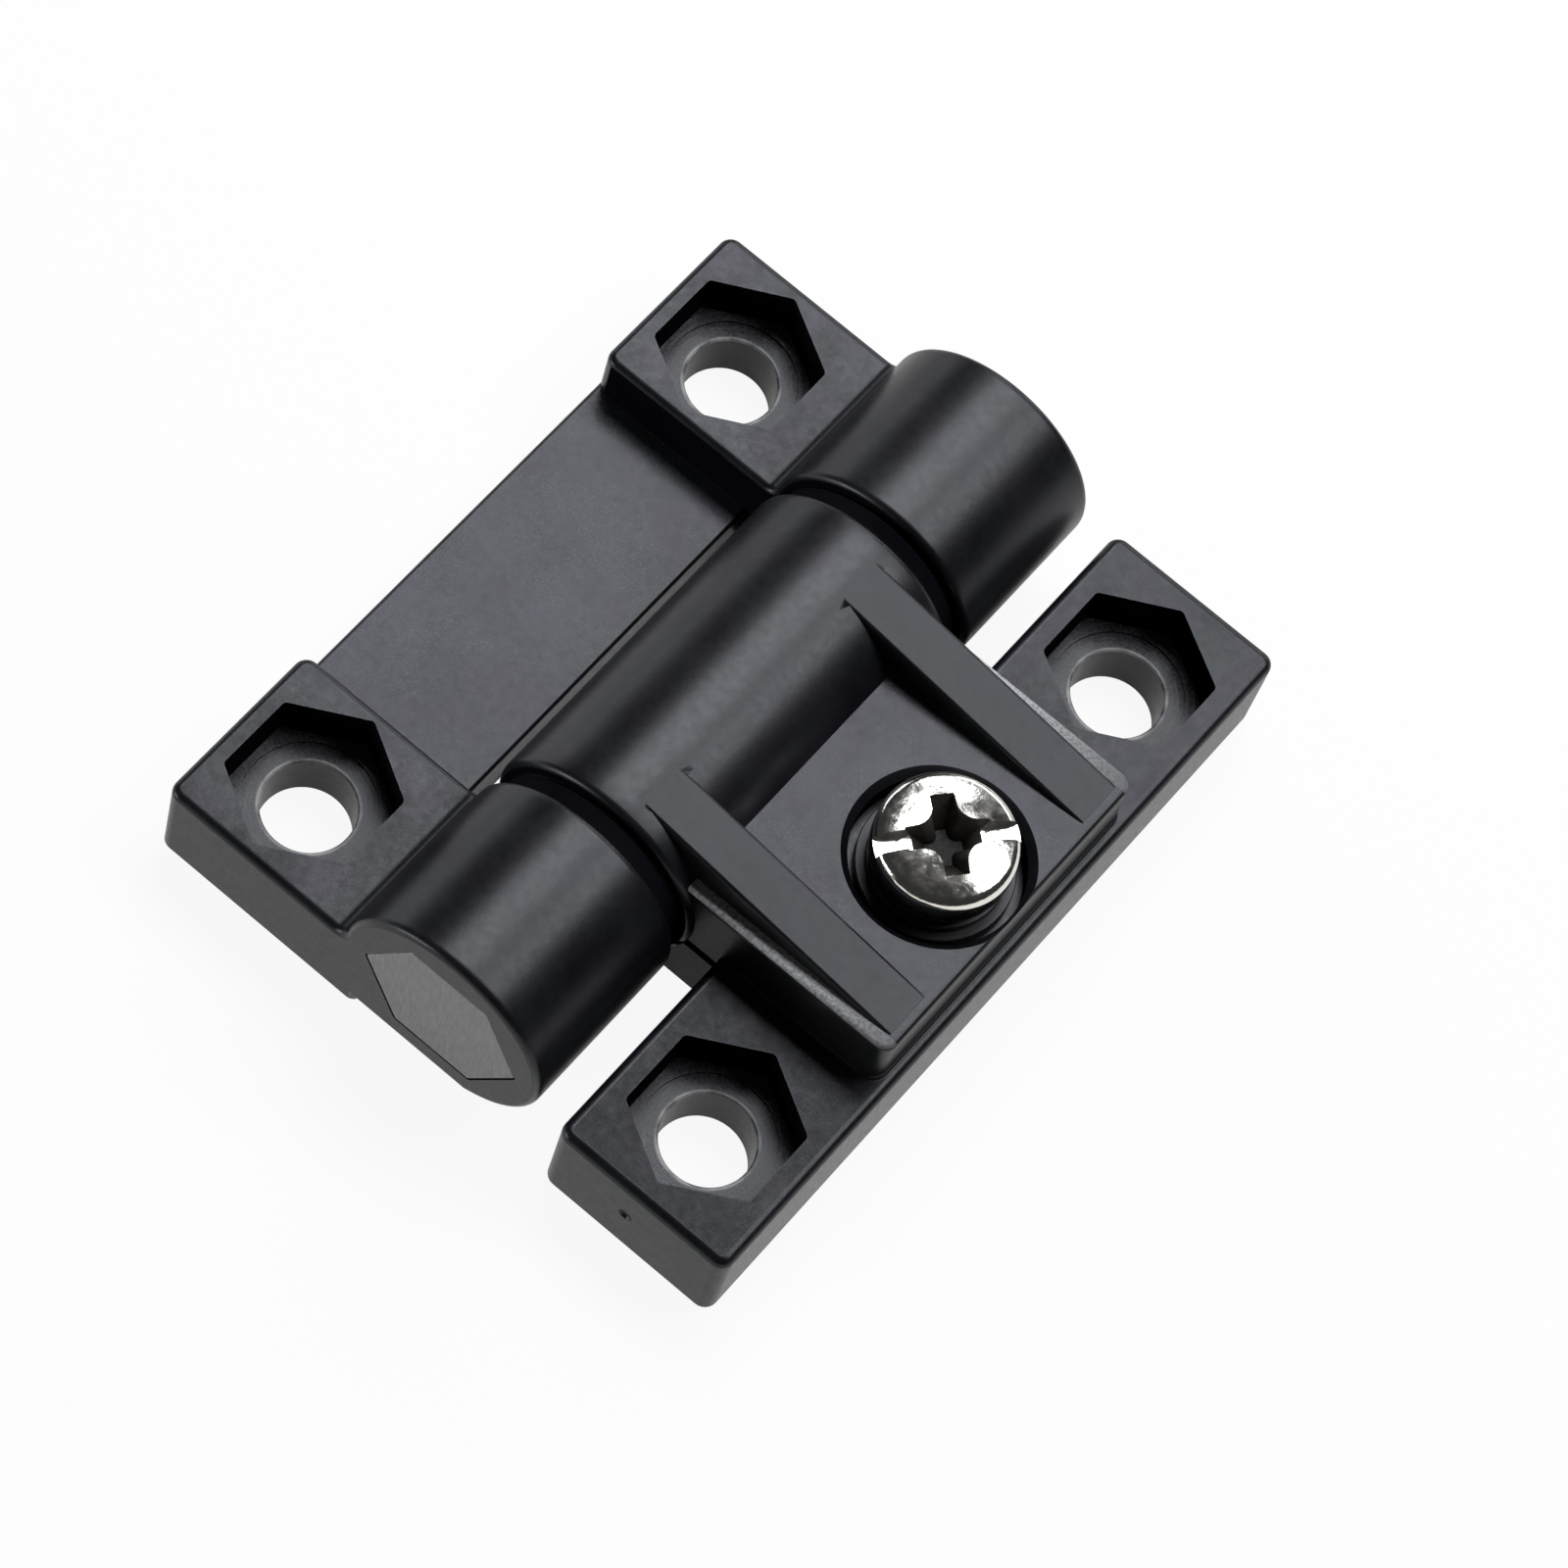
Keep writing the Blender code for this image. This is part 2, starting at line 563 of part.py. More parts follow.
def make_stack(finish):
    """The plain washer and the two facing disc springs under the screw's head."""
    hole = SCREW_DIAMETER / 2 + FIT_GAP
    outer = WASHER_DIAMETER / 2
    top = WASHER_BOTTOM + WASHER_THICKNESS
    profile = [(hole, WASHER_BOTTOM), (outer, WASHER_BOTTOM), (outer, top), (hole, top)]
    dress(turned("plain_washer", profile, (SCREW_AXIS.x, 0, 0), SMALL_SEGMENTS), finish, SCREW_AXIS)
    outer = SPRING_DIAMETER / 2
    for name, bottom, inner_lift, outer_lift in (
        ("disc_spring_lower", LOWER_SPRING_BOTTOM, SPRING_CONE, 0),
        ("disc_spring_upper", UPPER_SPRING_BOTTOM, 0, SPRING_CONE),
    ):
        profile = [
            (hole, bottom + inner_lift),
            (outer, bottom + outer_lift),
            (outer, bottom + outer_lift + SPRING_SHEET),
            (hole, bottom + inner_lift + SPRING_SHEET),
        ]
        dress(turned(name, profile, (SCREW_AXIS.x, 0, 0), SMALL_SEGMENTS), finish, SCREW_AXIS)


def make_nut(finish):
    """The square nut held in the back of the clamp tongue."""
    half = NUT_WIDTH / 2
    x = SCREW_AXIS.x
    bm = prism(rectangle(x - half, x + half, -half, half), "Z", NUT_BOTTOM, NUT_TOP)
    round_edges(bm, upright, NUT_CHAMFER, 1)
    nut = finish_mesh("square_nut", bm)
    hole = SCREW_DIAMETER / 2 + FIT_GAP
    mouth = hole + NUT_CHAMFER + OVERCUT
    profile = [
        (0, NUT_BOTTOM - OVERCUT),
        (mouth, NUT_BOTTOM - OVERCUT),
        (hole, NUT_BOTTOM + NUT_CHAMFER),
        (hole, NUT_TOP + OVERCUT),
        (0, NUT_TOP + OVERCUT),
    ]
    combine(nut, turned("nut_hole", profile, (x, 0, 0), SMALL_SEGMENTS), "DIFFERENCE")
    dress(nut, finish, SCREW_AXIS)


def main():
    clear_scene()
    black = material("black_nylon", (0.022, 0.022, 0.027), 0.45, 0)
    pin_grey = material("pin_grey", (0.42, 0.42, 0.41), 0.55, 0.6)
    plated = material("plated_steel", (0.78, 0.77, 0.72), 0.18, 1)
    dark_steel = material("dark_steel", (0.05, 0.05, 0.05), 0.4, 0.8)
    acetal = material("dark_acetal", (0.06, 0.06, 0.06), 0.5, 0)
    make_pin_leaf(black)
    make_clamp_leaf(black)
    make_pin(pin_grey)
    make_sleeve_and_thrust_washers(acetal, black)
    make_screw(plated)
    make_stack(dark_steel)
    make_nut(plated)


main()
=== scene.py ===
"""Looks of the plastic friction hinge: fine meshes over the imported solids, materials, light and camera."""

import json
import math

import bmesh
import bpy
from mathutils import Matrix, Vector


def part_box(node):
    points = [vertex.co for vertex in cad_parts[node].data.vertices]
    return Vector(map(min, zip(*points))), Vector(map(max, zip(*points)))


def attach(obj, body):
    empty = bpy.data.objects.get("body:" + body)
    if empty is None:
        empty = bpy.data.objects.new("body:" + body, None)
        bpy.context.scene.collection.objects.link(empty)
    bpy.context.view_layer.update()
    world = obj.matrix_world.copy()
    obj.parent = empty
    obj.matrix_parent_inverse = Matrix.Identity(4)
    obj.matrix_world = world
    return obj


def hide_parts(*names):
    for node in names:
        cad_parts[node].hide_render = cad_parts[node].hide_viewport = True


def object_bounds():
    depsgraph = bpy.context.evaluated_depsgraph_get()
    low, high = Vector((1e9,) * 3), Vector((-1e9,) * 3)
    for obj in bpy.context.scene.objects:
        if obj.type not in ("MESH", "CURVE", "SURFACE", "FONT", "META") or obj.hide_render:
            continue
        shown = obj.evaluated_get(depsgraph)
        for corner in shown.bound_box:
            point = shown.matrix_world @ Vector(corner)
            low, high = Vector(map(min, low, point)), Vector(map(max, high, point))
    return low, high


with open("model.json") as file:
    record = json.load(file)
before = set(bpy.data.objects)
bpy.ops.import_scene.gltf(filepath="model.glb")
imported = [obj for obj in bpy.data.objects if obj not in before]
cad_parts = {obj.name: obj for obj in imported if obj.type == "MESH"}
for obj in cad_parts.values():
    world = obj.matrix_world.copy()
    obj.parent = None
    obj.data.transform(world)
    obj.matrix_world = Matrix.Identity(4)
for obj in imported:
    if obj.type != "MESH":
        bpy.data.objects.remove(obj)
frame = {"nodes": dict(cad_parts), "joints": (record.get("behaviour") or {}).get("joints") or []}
cad_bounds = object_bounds()

MM = 0.001


def joint(name):
    return next(item for item in frame["joints"] if item["name"] == name)


# Places and main sizes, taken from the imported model
PIN_X = joint("leaf_fold")["pos_m"][0]
PIN_HEIGHT = joint("leaf_fold")["pos_m"][2]
SCREW_X = joint("screw_turn")["pos_m"][0]
PIN_LEAF_LOW, PIN_LEAF_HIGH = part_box("pin_leaf")
CLAMP_LEAF_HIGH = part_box("clamp_leaf")[1]
HEAD_LOW, HEAD_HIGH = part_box("adjusting_screw")
PIN_LOW, PIN_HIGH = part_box("hinge_pin")
KNUCKLE_RADIUS = PIN_LEAF_HIGH.z - PIN_HEIGHT
PIN_LEAF_END = PIN_LEAF_HIGH.y
CLAMP_LEAF_END = CLAMP_LEAF_HIGH.y

# Both leaves
LEAF_THICKNESS = 6.6 * MM
EDGE_ROUND = 0.55 * MM
BACK_ROUND = 0.15 * MM
CORNER_ROUND = 0.8 * MM
KNUCKLE_INNER = 12.5 * MM
KNUCKLE_BACK = 0.6 * MM
KNUCKLE_BACK_REACH = 5.2 * MM
KNUCKLE_FILLET = 0.8 * MM
BARREL_LENGTH = 22.4 * MM
RIM_ROUND = 0.32 * MM
PAD_ROUND = 0.45 * MM
BARREL_ROUND = 0.45 * MM
BARREL_STEP = 0.8 * MM
RECESS_THICKNESS = 3.1 * MM
RECESS_GAP = 1.3 * MM
RECESS_ROUND = 0.25 * MM
EAR_GAP = 1.9 * MM

# Mounting holes and their hexagonal pockets
HOLE_SPACING = 36.0 * MM
PIN_LEAF_HOLE_REACH = 13.7 * MM
CLAMP_LEAF_HOLE_REACH = 14.35 * MM
HOLE_DIAMETER = 5.3 * MM
HOLE_CHAMFER = 0.10 * MM
POCKET_FLATS = 8.5 * MM
POCKET_DEPTH = 3.1 * MM
POCKET_CORNER = 0.35 * MM
POCKET_LIP = 0.03 * MM
SPOT_DIAMETER = 7.6 * MM
SPOT_DEPTH = 0.12 * MM
GATE_X = 13.35 * MM
GATE_HEIGHT = 3.54 * MM
GATE_RADIUS = 0.45 * MM
GATE_DEPTH = 0.15 * MM

# Block of the clamp leaf with its arms, tongue and screw hole
BLOCK_START = 3.0 * MM
BLOCK_REACH = 19.3 * MM
BLOCK_WIDTH = 21.6 * MM
BLOCK_TOP = 10.6 * MM
BLOCK_CORNER = 0.9 * MM
BLOCK_FOOT = 0.35 * MM
FOOT_SINK = 0.02 * MM
ARM_INNER = 6.75 * MM
ARM_WIDTH = 3.15 * MM
ARM_TOE = 0.04 * MM
ARM_ROUND = 0.22 * MM
ARM_SINK = math.radians(2)
TONGUE_REACH = 17.4 * MM
TONGUE_BACK = 0.6 * MM
TONGUE_SLOT = 0.8 * MM
SLIT_HEIGHT = 4.8 * MM
SLIT_WIDTH = 0.8 * MM
BARREL_BORE = 5.9 * MM
SCREW_HOLE_RADIUS = 2.3 * MM
COUNTERBORE_RADIUS = 4.9 * MM
COUNTERBORE_CHAMFER = 0.45 * MM
COUNTERBORE_DEPTH = 2.0 * MM
NUT_POCKET_WIDTH = 7.3 * MM
NUT_POCKET_DEPTH = 2.9 * MM

# Pin, thrust washers, screw, springs, washer and nut
PIN_GAP = 0.08 * MM
PIN_EDGE = 0.12 * MM
PIN_CORNER = 0.25 * MM
THRUST_RADIUS = 6.0 * MM
HEAD_HEIGHT = 2.5 * MM
HEAD_CROWN = 0.45 * MM
HEAD_EDGE = 0.75 * MM
HEAD_EDGE_TURN = math.pi / 2 * 0.82
SHANK_RADIUS = 2.0 * MM
THREAD_PITCH = 0.7 * MM
THREAD_DEPTH = 0.38 * MM
SLOT_WIDTH = 1.1 * MM
SLOT_DEPTH = 1.1 * MM
CROSS_SPAN = 4.9 * MM
CROSS_WIDTH = 1.4 * MM
CROSS_DEPTH = 2.0 * MM
CROSS_CURVE = (math.radians(260), math.radians(190))
SLOT_ANGLE = math.radians(49.5)
STACK_HOLE_RADIUS = 2.15 * MM
STACK_EDGE = 0.06 * MM
SPRING_SHEET = 0.4 * MM
SPRING_LIFT = 0.35 * MM
NUT_CORNER = 0.31 * MM
NUT_BACK_ROUND = 0.25 * MM

ROUND_SEGMENTS = 160
KNUCKLE_STEPS = 110
HOLE_SEGMENTS = 96
EDGE_SEGMENTS = 5
CORNER_STEPS = 6
FILLET_STEPS = 8
HEAD_EDGE_STEPS = 10
CROWN_STEPS = 8
CORNER_SHARES = (0.7, 0.85, 1.0)
OVERCUT = 1.0 * MM
MERGE = 0.00001 * MM
SMOOTH_LIMIT = math.radians(28)

# Sorting faces: how close counts as on a plane, and parts of a normal along an axis
NEAR = 0.05 * MM
LEVEL = 0.995
LEDGE_UP = 0.7
FACES_UP = 0.5
UPRIGHT = 0.3
ACROSS = 0.97
CROSS_LEAN = 0.8

# Places in a leaf's list of finishes; the shaded walls carry painted shade, and the sides, seats and ledges
# carry painted light
SMOOTH, SPARKED, WORN, SIDE, SHADED, SEAT, LEDGE_HIGHLIGHT = range(7)


def new_object(name, mesh):
    made = bpy.data.objects.new(name, mesh)
    bpy.context.scene.collection.objects.link(made)
    return made


def from_bmesh(name, bm):
    """An object from a bmesh, with outward faces."""
    bmesh.ops.remove_doubles(bm, verts=bm.verts, dist=MERGE)
    bmesh.ops.recalc_face_normals(bm, faces=bm.faces)
    mesh = bpy.data.meshes.new(name)
    bm.to_mesh(mesh)
    bm.free()
    return new_object(name, mesh)


def loft(rings, closed=False):
    """A bmesh skinned over rings of equal point counts; open ends are capped unless closed."""
    bm = bmesh.new()
    rows = [[bm.verts.new(point) for point in ring] for ring in rings]
    pairs = list(zip(rows, rows[1:]))
    if closed:
        pairs.append((rows[-1], rows[0]))
    for lower, upper in pairs:
        for i in range(len(lower)):
            after = (i + 1) % len(lower)
            bm.faces.new([lower[i], lower[after], upper[after], upper[i]])
    if not closed:
        bm.faces.new(rows[0])
        bm.faces.new(rows[-1])
    return bm


def arc(center, radius, start, end, steps):
    """Points on an arc, both ends included."""
    return [
        (
            center[0] + radius * math.cos(start + (end - start) * step / steps),
            center[1] + radius * math.sin(start + (end - start) * step / steps),
        )
        for step in range(steps + 1)
    ]


def rounded_polygon(corners, radius, steps=CORNER_STEPS):
    """A convex outline, counter-clockwise, with its corners rounded."""
    outline = []
    count = len(corners)
    for i in range(count):
        here = Vector(corners[i])
        before = (Vector(corners[i - 1]) - here).normalized()
        after = (Vector(corners[(i + 1) % count]) - here).normalized()
        half = before.angle(after) / 2
        middle = here + (before + after).normalized() * (radius / math.sin(half))
        toward = math.atan2(*reversed(-(before + after)))
        spread = math.pi / 2 - half
        outline += arc(middle, radius, toward - spread, toward + spread, steps)
    return outline


def rectangle(left, right, low, high):
    return [(left, low), (right, low), (right, high), (left, high)]


def hexagon(flats, first_corner, center):
    radius = flats / math.sqrt(3)
    return [
        (
            center[0] + radius * math.cos(first_corner + corner * math.pi / 3),
            center[1] + radius * math.sin(first_corner + corner * math.pi / 3),
        )
        for corner in range(6)
    ]


def level(outline, z):
    return [(x, y, z) for x, y in outline]


def upright_plane(outline, y):
    return [(x, y, z) for x, z in outline]


def quarter(radius, steps=EDGE_SEGMENTS):
    """(inset, drop) pairs round a convex edge, from the side to the top."""
    return [
        (
            radius * (1 - math.cos(step / steps * math.pi / 2)),
            radius * (1 - math.sin(step / steps * math.pi / 2)),
        )
        for step in range(steps + 1)
    ]


def soft_box(name, sides, bottom, top, corner, top_round, bottom_round):
    """A box on the XY plane with rounded upright corners and rounded top and bottom edges."""
    left, right, near, far = sides

    def ring(inset, z):
        outline = rectangle(left + inset, right - inset, near + inset, far - inset)
        return level(rounded_polygon(outline, corner - inset), z)

    rings = [ring(inset, bottom + drop) for inset, drop in reversed(quarter(bottom_round))]
    rings += [ring(inset, top - drop) for inset, drop in quarter(top_round)]
    return from_bmesh(name, loft(rings))


def turned_along(profile, axis_point, direction, segments):
    """Rings of a solid of revolution from (radius, place) pairs along Y or Z."""
    x, z = axis_point
    rings = []
    for radius, place in profile:
        circle = arc((0, 0), radius, 0, 2 * math.pi, segments)[:-1]
        if direction == "Y":
            rings.append([(x + across, place, z + up) for across, up in circle])
        else:
            rings.append([(x + across, z + along, place) for across, along in circle])
    return rings


def solid_of_revolution(name, profile, axis_point, direction, segments=HOLE_SEGMENTS):
    return from_bmesh(name, loft(turned_along(profile, axis_point, direction, segments)))


def ring_of_revolution(name, profile, axis_point, direction, segments=HOLE_SEGMENTS):
    rings = turned_along(profile, axis_point, direction, segments)
    return from_bmesh(name, loft(rings, closed=True))


def prism(outline, direction, low, high):
    if direction == "Y":
        return loft([upright_plane(outline, low), upright_plane(outline, high)])
    return loft([level(outline, low), level(outline, high)])


def round_edges(bm, test, width, segments):
    edges = [edge for edge in bm.edges if test(edge)]
    bmesh.ops.bevel(
        bm, geom=edges, offset=width, offset_type="OFFSET", segments=segments,
        profile=0.5, affect="EDGES", clamp_overlap=True,
    )


def baked(made):
    """The piece's mesh with its modifiers applied."""
    mesh = bpy.data.meshes.new_from_object(made.evaluated_get(bpy.context.evaluated_depsgraph_get()))
    made.modifiers.clear()
    return mesh


def carve(target, tools):
    """Apply (operation, object) steps to the target and remove the objects used."""
    for operation, tool in tools:
        step = target.modifiers.new("step", "BOOLEAN")
        step.operation = operation
        step.solver = "EXACT"
        step.object = tool
    target.data = baked(target)
    for _, tool in tools:
        bpy.data.objects.remove(tool)
    return target


def split_across(made, reach):
    """Split a piece's faces along the planes at a reach on either side of its middle."""
    bm = bmesh.new()
    bm.from_mesh(made.data)
    for y in (-reach, reach):
        whole = list(bm.verts) + list(bm.edges) + list(bm.faces)
        bmesh.ops.bisect_plane(bm, geom=whole, dist=MERGE, plane_co=(0, y, 0), plane_no=(0, 1, 0))
    bm.to_mesh(made.data)
    bm.free()


def finish_piece(made, materials, body, node, kind=None):
    """Smooth the piece, give its faces their materials and let it stand for its solid."""
    made.data.materials.clear()
    for material in materials:
        made.data.materials.append(material)
    for face in made.data.polygons:
        face.material_index = kind(face) if kind else 0
    made.data.shade_smooth()
    made.data.set_sharp_from_angle(angle=SMOOTH_LIMIT)
    weighted = made.modifiers.new("weighted_normals", "WEIGHTED_NORMAL")
    weighted.keep_sharp = True
    weighted.weight = 100
    made.data = baked(made)
    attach(made, body)
    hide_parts(node)


def fall(radius, depth):
    """How far a rounded edge has dropped at a depth inward from its side."""
    left = max(radius - depth, 0)
    return radius - math.sqrt(radius ** 2 - left ** 2)


def end_ring(y, depth):
    """Pad and knuckle of the pin leaf cut across at y, at a depth inward from its nearer end."""
    inset = fall(PAD_ROUND, depth)
    left = PIN_LEAF_LOW.x
    back = min(inset, BACK_ROUND)
    radius = KNUCKLE_RADIUS - inset
    start = -math.asin((PIN_HEIGHT - KNUCKLE_BACK - inset) / radius)
    rise = LEAF_THICKNESS + KNUCKLE_FILLET - PIN_HEIGHT
    across = math.sqrt((KNUCKLE_RADIUS + KNUCKLE_FILLET) ** 2 - rise ** 2)
    meet = math.atan2(rise, -across)
    fillet_center = (PIN_X - across, LEAF_THICKNESS + KNUCKLE_FILLET)
    relief = PIN_X - KNUCKLE_BACK_REACH - inset
    outline = [(relief, back), (relief, KNUCKLE_BACK + inset)]
    outline += arc((PIN_X, PIN_HEIGHT), radius, start, meet, KNUCKLE_STEPS)
    outline += arc(fillet_center, KNUCKLE_FILLET + inset, meet - math.pi, -math.pi / 2, FILLET_STEPS)[1:]
    corner = max(CORNER_ROUND - depth, 0)
    top = math.acos(1 - min(depth / PAD_ROUND, 1))
    for step in range(EDGE_SEGMENTS + 1):
        turn = top * (1 - step / EDGE_SEGMENTS)
        lean = CORNER_ROUND - PAD_ROUND * (1 - math.cos(turn))
        side = left + CORNER_ROUND - math.sqrt(max(lean ** 2 - corner ** 2, 0))
        outline.append((side, LEAF_THICKNESS - PAD_ROUND * (1 - math.sin(turn))))
    outline.append((left + fall(CORNER_ROUND, depth), back))
    return upright_plane(outline, y)


def pin_leaf_end(name, side):
    """A raised pad and its knuckle in one solid, rounded round both ends."""
    near, far = sorted((side * KNUCKLE_INNER, side * PIN_LEAF_END))
    depths = [inset for inset, _ in quarter(PAD_ROUND)]
    depths += [CORNER_ROUND * share for share in CORNER_SHARES]
    rings = [end_ring(near + depth, depth) for depth in depths]
    rings += [end_ring(far - depth, depth) for depth in reversed(depths)]
    return from_bmesh(name, loft(rings))


def pocket_cutter(x, y):
    """The hexagonal pocket with a soft lip."""
    def ring(grow, z):
        corners = hexagon(POCKET_FLATS + 2 * grow, math.pi / 2, (x, y))
        return level(rounded_polygon(corners, POCKET_CORNER + grow), z)

    rings = [ring(0, LEAF_THICKNESS - POCKET_DEPTH)]
    for inset, drop in reversed(quarter(POCKET_LIP)):
        rings.append(ring(POCKET_LIP - drop, LEAF_THICKNESS - inset))
    rings.append(ring(POCKET_LIP + OVERCUT, LEAF_THICKNESS + OVERCUT))
    return from_bmesh("pocket", loft(rings))


def hole_cutters(reach, side):
    """Hexagonal pocket, spot face and through hole."""
    center = (PIN_X + reach, side * HOLE_SPACING / 2)
    floor = LEAF_THICKNESS - POCKET_DEPTH
    radius = HOLE_DIAMETER / 2
    spot = floor - SPOT_DEPTH
    profile = [
        (radius + HOLE_CHAMFER + OVERCUT, -OVERCUT),
        (radius, HOLE_CHAMFER),
        (radius, spot - HOLE_CHAMFER),
        (radius + HOLE_CHAMFER, spot),
        (SPOT_DIAMETER / 2, spot),
        (SPOT_DIAMETER / 2, floor + POCKET_DEPTH / 2),
    ]
    hole = solid_of_revolution("hole", profile, center, "Z")
    return [("DIFFERENCE", pocket_cutter(*center)), ("DIFFERENCE", hole)]


def face_kinds(hole_reach, sparked_height, sparked_side):
    """Sort a leaf's faces by their finish, from where they lie and where they face."""
    hole_x = PIN_X + hole_reach
    seat = LEAF_THICKNESS - POCKET_DEPTH - SPOT_DEPTH
    ledge_start = ARM_INNER + ARM_WIDTH

    def in_pocket(center):
        reach = math.hypot(center.x - hole_x, abs(center.y) - HOLE_SPACING / 2)
        return reach < POCKET_FLATS * 0.6 and seat - 2 * HOLE_CHAMFER < center.z < LEAF_THICKNESS - NEAR

    def in_counterbore(center):
        reach = math.hypot(center.x - SCREW_X, center.y)
        return reach < COUNTERBORE_RADIUS + NEAR and center.z > SLIT_HEIGHT

    def on_inner_end(center):
        return any(abs(abs(center.y) - end) < NEAR for end in (KNUCKLE_INNER, BARREL_LENGTH / 2))

    def on_ledge(center):
        return ledge_start < abs(center.y) < BLOCK_WIDTH / 2 and abs(center.z - BLOCK_TOP) < RIM_ROUND / 2

    def level_kind(center):
        if abs(center.z - sparked_height) < NEAR and abs(center.y) < sparked_side:
            return SPARKED
        return WORN if abs(center.z - LEAF_THICKNESS) < NEAR else SMOOTH

    def kind(face):
        center = face.center
        facing = face.normal
        # Pocket walls take the painted-shade plastic, and pocket floors take the seat finish with its
        # painted light
        if in_pocket(center):
            return SEAT if facing.z > FACES_UP else SHADED
        beside_arms = ledge_start < abs(center.y) and center.z > BLOCK_TOP - NEAR
        if facing.z > LEVEL and not beside_arms:
            return level_kind(center)
        # Counterbore walls and the inner ends in the gaps take the painted-shade plastic
        if in_counterbore(center):
            return SHADED
        # Other end faces, and upright faces beyond the knuckle, take the sides finish lifted with painted
        # light
        if abs(facing.y) > ACROSS:
            return SHADED if on_inner_end(center) else SIDE
        # Ledges beside the arms take the painted highlight
        if on_ledge(center) and facing.z > LEDGE_UP:
            return LEDGE_HIGHLIGHT
        beyond = abs(center.x - PIN_X) > KNUCKLE_RADIUS
        return SIDE if beyond and abs(facing.z) < UPRIGHT else SMOOTH

    return kind


def make_pin_leaf(materials):
    """The leaf with two pads, two outer knuckles and a thin plate between them."""
    inner = KNUCKLE_INNER + CORNER_ROUND + EDGE_ROUND
    right = PIN_X - KNUCKLE_RADIUS - RECESS_GAP
    sides = (PIN_LEAF_LOW.x, right, -inner, inner)
    leaf = soft_box("pin_leaf_visual", sides, 0, RECESS_THICKNESS, PAD_ROUND, RECESS_ROUND, BACK_ROUND)
    reach = PIN_LEAF_END + OVERCUT
    steps = [("UNION", pin_leaf_end("end", side)) for side in (-1, 1)]
    steps.append(pin_bore("pin_bore", -reach, reach))
    for side in (-1, 1):
        steps += hole_cutters(-PIN_LEAF_HOLE_REACH, side)
    kind = face_kinds(-PIN_LEAF_HOLE_REACH, RECESS_THICKNESS, KNUCKLE_INNER)
    finish_piece(carve(leaf, steps), materials, "pin_side", "pin_leaf", kind)


def barrel():
    """The round barrel with softly rounded rims."""
    half = BARREL_LENGTH / 2
    near = [(KNUCKLE_RADIUS - inset, -half + drop) for inset, drop in reversed(quarter(BARREL_ROUND))]
    count = round(BARREL_LENGTH / BARREL_STEP)
    straight = BARREL_LENGTH - 2 * BARREL_ROUND
    middle = [(KNUCKLE_RADIUS, straight * (step / count - 0.5)) for step in range(1, count)]
    far = [(radius, -place) for radius, place in reversed(near)]
    return solid_of_revolution("barrel", near + middle + far, (PIN_X, PIN_HEIGHT), "Y", ROUND_SEGMENTS)


def arm(side):
    """An arm on the block, whose top slopes from the barrel down to the outer edge."""
    toe = PIN_X + BLOCK_REACH - 2 * RIM_ROUND
    drop = BLOCK_TOP + ARM_TOE - PIN_HEIGHT
    contact = math.atan2(drop, toe - PIN_X) + math.acos(KNUCKLE_RADIUS / math.hypot(toe - PIN_X, drop))
    start = contact + ARM_SINK
    outline = [
        (toe, BLOCK_TOP - RIM_ROUND),
        (toe, BLOCK_TOP + ARM_TOE),
        (PIN_X + KNUCKLE_RADIUS * math.cos(start), PIN_HEIGHT + KNUCKLE_RADIUS * math.sin(start) - MERGE),
        (PIN_X + BLOCK_START, BLOCK_TOP - RIM_ROUND),
    ]
    near, far = sorted((side * ARM_INNER, side * (ARM_INNER + ARM_WIDTH)))
    bm = prism(outline, "Y", near, far)

    def top_side(edge):
        along = abs(edge.verts[0].co.y - edge.verts[1].co.y) < MERGE
        return along and min(v.co.z for v in edge.verts) > BLOCK_TOP

    round_edges(bm, top_side, ARM_ROUND, EDGE_SEGMENTS)
    return from_bmesh("arm", bm)


def block_foot():
    """The small fillet where the block stands on the leaf."""
    left = PIN_X + KNUCKLE_RADIUS + EAR_GAP + EDGE_ROUND
    right = PIN_X + BLOCK_REACH
    half = BLOCK_WIDTH / 2

    def ring(grow, z):
        outline = rectangle(left, right + grow, -half - grow, half + grow)
        return level(rounded_polygon(outline, BLOCK_CORNER + grow), z)

    rings = [ring(BLOCK_FOOT, LEAF_THICKNESS - 10 * FOOT_SINK)]
    for inset, drop in quarter(BLOCK_FOOT):
        rings.append(ring(drop, LEAF_THICKNESS - FOOT_SINK + inset))
    rings.append(ring(-FOOT_SINK, LEAF_THICKNESS + BLOCK_FOOT))
    return from_bmesh("block_foot", loft(rings))


